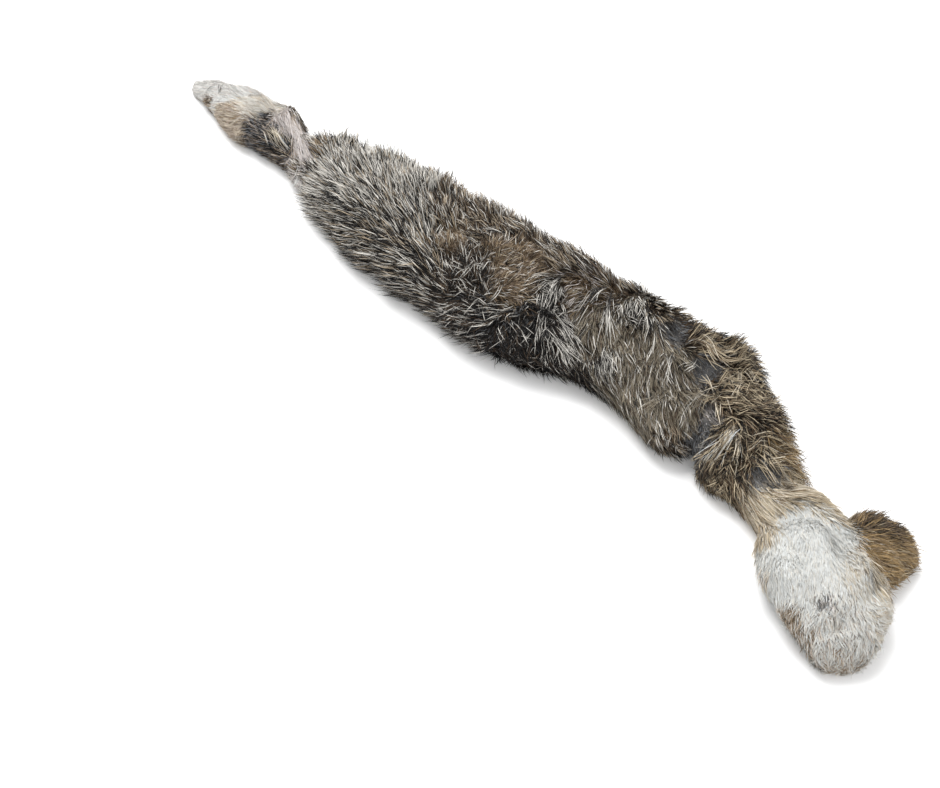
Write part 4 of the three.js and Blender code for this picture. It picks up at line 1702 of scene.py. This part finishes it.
@dataclass(frozen=True)
class MatFinish(Finish):
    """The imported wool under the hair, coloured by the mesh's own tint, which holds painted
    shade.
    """

    name: str = "wool_mat"
    roughness: float = 0.95
    specular: float = 0.05
    grain: float = 900.0
    depth: float = 0.36

    def paint(self, tree: bpy.types.NodeTree) -> bpy.types.NodeSocket:
        """Shades the tint with a fine grain."""
        tint = add_node(tree, "ShaderNodeVertexColor", {"layer_name": "tint"}).outputs[0]
        return shaded(tree, tint, noise(tree, self.grain), self.depth, 1 - self.depth / 2)


@dataclass(frozen=True)
class SkinFinish(Finish):
    """The pale flesh side of the skin."""

    name: str = "flesh_side"
    roughness: float = 0.8
    specular: float = 0.2
    grain: float = 60.0
    light: tuple[int, int, int] = (226, 208, 182)
    dark: tuple[int, int, int] = (196, 168, 136)

    def paint(self, tree: bpy.types.NodeTree) -> bpy.types.NodeSocket:
        """Mixes the light and the dark colour by a coarse noise."""
        light, dark = linear(self.light), linear(self.dark)
        return mix_colours(tree, noise(tree, self.grain), light, dark)


@dataclass(frozen=True)
class FloorFinish(Finish):
    """The plain white of the floor."""

    name: str = "floor"
    roughness: float = 0.9
    specular: float = 0.1
    colour: tuple[int, int, int] = (248, 248, 248)

    def paint(self, tree: bpy.types.NodeTree) -> tuple[float, float, float, float]:
        """Gives one even colour, without a node."""
        return linear(self.colour)


@dataclass(frozen=True)
class Patch:
    """One piece of fur: a stretch along the pelt, with how many hairs of each kind."""

    name: str
    start: float
    end: float
    guard: int
    wool: int


PATCHES: tuple[Patch, ...] = (
    Patch("foot", -1.0, 128.0, 12000, 14000),
    Patch("rump", 128.0, 246.0, 15000, 22000),
    Patch("saddle", 246.0, 360.0, 15000, 28000),
    Patch("shoulder", 360.0, 500.0, 18000, 30000),
    Patch("waist", 500.0, 560.0, 4500, 7000),
    Patch("belly", 560.0, 900.0, 15000, 30000),
)
FLAP_PATCH = Patch("flap", -1.0, 900.0, 5000, 8000)


@dataclass
class Pelt:
    """The whole pelt: the folded skin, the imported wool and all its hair."""

    rng: np.random.Generator
    pieces: list[bpy.types.Object] = field(default_factory=list)

    def build(self) -> None:
        """Makes and declares every piece."""
        body = FoldedForm(build_stations(ROWS))
        flap = FoldedForm(build_stations(FLAP_ROWS))
        fur = FurMap(self.rng)
        hair = HairFinish().material()
        skin = self._skin(body)
        self._mat("wool_mat", body, fur)
        self._mat("wool_mat_flap", flap, fur)
        shells = [Shell.around(body), Shell.around(flap)]
        for patch in PATCHES:
            self._fur(patch, body, shells[0], fur, hair)
        self._fur(FLAP_PATCH, flap, shells[1], fur, hair)
        strands = lay_strands(FANS, shells, self.rng).blades("long_strands")
        self._finish(strands, hair)

    def _finish(self, piece: bpy.types.Object, material: bpy.types.Material) -> None:
        """Gives a piece its material and says what it stands for.

        Args:
            piece: The piece.
            material: Its material.
        """
        piece.data.materials.append(material)
        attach(piece, "root")
        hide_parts("pelt")
        self.pieces.append(piece)
        LOG.info("%s: %d faces", piece.name, len(piece.data.polygons))

    def _skin(self, body: FoldedForm) -> bpy.types.Object:
        """Makes the folded skin round the slit.

        Args:
            body: The pelt's form.

        Returns:
            The piece.
        """
        lip = body.pile() * SKIN_INSET
        inner_low, inner_high = body.slit(lip, 0.0)
        outer_low, outer_high = body.slit(lip, SKIN_THICKNESS)
        walls = [inner_low, inner_high, outer_high[:, ::-1], outer_low[:, ::-1]]
        ring = np.concatenate(walls, axis=1)
        piece = grid_mesh("skin", ring)
        self._finish(piece, SkinFinish().material())
        return piece

    def _mat(self, name: str, form: FoldedForm, fur: FurMap) -> bpy.types.Object:
        """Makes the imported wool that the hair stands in.

        Args:
            name: The piece's name.
            form: The form.
            fur: The fur map.

        Returns:
            The piece.
        """
        pile = form.pile()
        low, high = form.slit(pile * SKIN_INSET + MOUTH_INSET, SKIN_THICKNESS + MAT_CLEARANCE)
        edge = form.near_edge(pile)
        far = form.far_edge(pile)
        ring = np.concatenate([form.crown(pile), edge[:, 1:], far[:, :-1], low, high], axis=1)
        piece = grid_mesh(name, ring)
        points = np.empty(len(piece.data.vertices) * 3)
        piece.data.vertices.foreach_get("co", points)
        points = points.reshape(-1, 3) / MM
        weights = fur.weights(points)
        # Wool colours of the zones, darkened by painted shade of the deep pile
        roots = np.array([self._tint(zone.wool, LOOSE_ROOTS) for zone in ZONES])
        tops = np.array([self._tint(zone.wool, PACKED_ROOTS) for zone in ZONES])
        packed = packed_share(points[:, 0], points[:, 1])[:, None]
        tints = weights @ roots * (1 - packed) + weights @ tops * packed
        tint = piece.data.color_attributes.new("tint", "FLOAT_COLOR", "POINT")
        tint.data.foreach_set("color", tints.astype(np.float32).ravel())
        self._finish(piece, MatFinish().material())
        return piece

    @staticmethod
    def _tint(coat: Coat, root: float) -> tuple[float, float, float, float]:
        """Blends the wool colours of a coat and darkens them by painted shade of the deep pile.

        Args:
            coat: The coat.
            root: The share of the roots' colours, the rest being the bands'.

        Returns:
            A linear colour.
        """
        mixed = np.zeros(4)
        for tone, share in coat.value:
            dye = DYES[tone]
            deep, ring = np.array(linear(dye.root)), np.array(linear(dye.band))
            mixed += share * (root * deep + (1 - root) * ring)
        total = sum(share for _, share in coat.value)
        return tuple(mixed[:3] / total * MAT_PAINTED_SHADE) + (1.0,)

    def _fur(
        self, patch: Patch, form: FoldedForm, shell: Shell, fur: FurMap, hair: bpy.types.Material
    ) -> None:
        """Makes the guard hair and the wool of one stretch.

        Args:
            patch: The stretch.
            form: The form that it grows on.
            shell: The form's outer surface.
            fur: The fur map.
            hair: The material.
        """
        along = form.stations.along
        inside = (along >= patch.start - PATCH_LAP) & (along <= patch.end + PATCH_LAP)
        rows = np.where(inside)[0]
        pile = form.pile() + ROOT_DEPTH
        bands = [form.crown(pile)[rows], form.near_edge(pile)[rows], form.far_edge(pile)[rows]]
        bands = [outward(band, form.core()[rows]) for band in bands]
        for kind, count, bare in ((GUARD, patch.guard, 1.0), (WOOL, patch.wool, 0.0)):
            roots = scatter(bands, self._count(count), fur, self.rng, bare)
            piece = grow(roots, kind, fur, shell, self.rng).blades(f"{kind.name}_{patch.name}")
            self._finish(piece, hair)

    @staticmethod
    def _count(count: int) -> int:
        return count


def outward(band: Array, core: Array) -> Array:
    """Orders a band's grid so that its cells face away from the pelt's inside.

    Args:
        band: A grid of points, one row a station.
        core: A point inside the form at each station.

    Returns:
        The grid, turned where needed.
    """
    a, b, c, d = band[:-1, :-1], band[:-1, 1:], band[1:, 1:], band[1:, :-1]
    normals = np.cross(c - a, d - b)
    towards = ((a + c) / 2 - core[:-1, None]) * normals
    return band if towards.sum() > 0 else band[:, ::-1]


def look_at_middle(thing: bpy.types.Object, away: Vector) -> None:
    """Turns a lamp or a camera towards the pelt.

    Args:
        thing: The lamp or the camera.
        away: The direction from the pelt to it.
    """
    thing.rotation_mode = "QUATERNION"
    thing.rotation_quaternion = (-away).to_track_quat("-Z", "Y")


@dataclass(frozen=True)
class Lamp:
    """A soft square lamp: its place and its side in metres, and its power in watts."""

    name: str
    place: tuple[float, float, float]
    size: float
    power: float

    def hang(self) -> None:
        """Adds the lamp, facing the pelt."""
        data = bpy.data.lights.new(self.name, "AREA")
        data.size, data.energy = self.size, self.power
        lamp = link(self.name, data)
        lamp.location = self.place
        look_at_middle(lamp, Vector(self.place))


@dataclass(frozen=True)
class Studio:
    """The floor, the soft light and the photograph's camera."""

    floor_size: float = 30.0
    finish: FloorFinish = FloorFinish()
    lamps: tuple[Lamp, ...] = (
        Lamp("key", (-0.75, 1.75, 3.0), 2.0, 137.0),
        Lamp("fill", (1.2, -1.8, 2.2), 2.8, 20.0),
    )
    sky_colour: tuple[float, float, float, float] = (1.0, 1.0, 1.0, 1.0)
    sky_strength: float = 0.85

    def build(self) -> None:
        """Makes the floor, the lights and the camera."""
        bpy.ops.object.select_all(action="DESELECT")
        bpy.ops.mesh.primitive_plane_add(size=self.floor_size, location=(0, 0, 0))
        floor = bpy.context.object
        floor.name = "floor"
        floor.data.materials.append(self.finish.material())
        for lamp in self.lamps:
            lamp.hang()
        world = bpy.data.worlds.new("studio")
        world.use_nodes = True
        background = world.node_tree.nodes["Background"]
        background.inputs["Color"].default_value = self.sky_colour
        background.inputs["Strength"].default_value = self.sky_strength
        bpy.context.scene.world = world
        bpy.context.scene.view_settings.view_transform = "Standard"
        self._camera()

    @staticmethod
    def _camera() -> None:
        """Adds the camera at the photograph's angle."""
        rise = math.radians(CAMERA_RISE)
        point = Vector((CAMERA_POINT[0], CAMERA_POINT[1], 0)) * MM
        back = Vector((0, -math.cos(rise), math.sin(rise)))
        data = bpy.data.cameras.new("camera")
        data.lens = CAMERA_LENS
        camera = link("camera", data)
        camera.location = point + back * CAMERA_DISTANCE * MM
        look_at_middle(camera, back)
        bpy.context.scene.camera = camera


def main() -> None:
    """Builds the dressed pelt and reports its pieces."""
    logging.basicConfig(level=logging.INFO, format="%(name)s %(message)s")
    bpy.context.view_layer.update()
    Pelt(np.random.default_rng(SEED)).build()
    Studio().build()


if __name__ == "__main__":
    main()
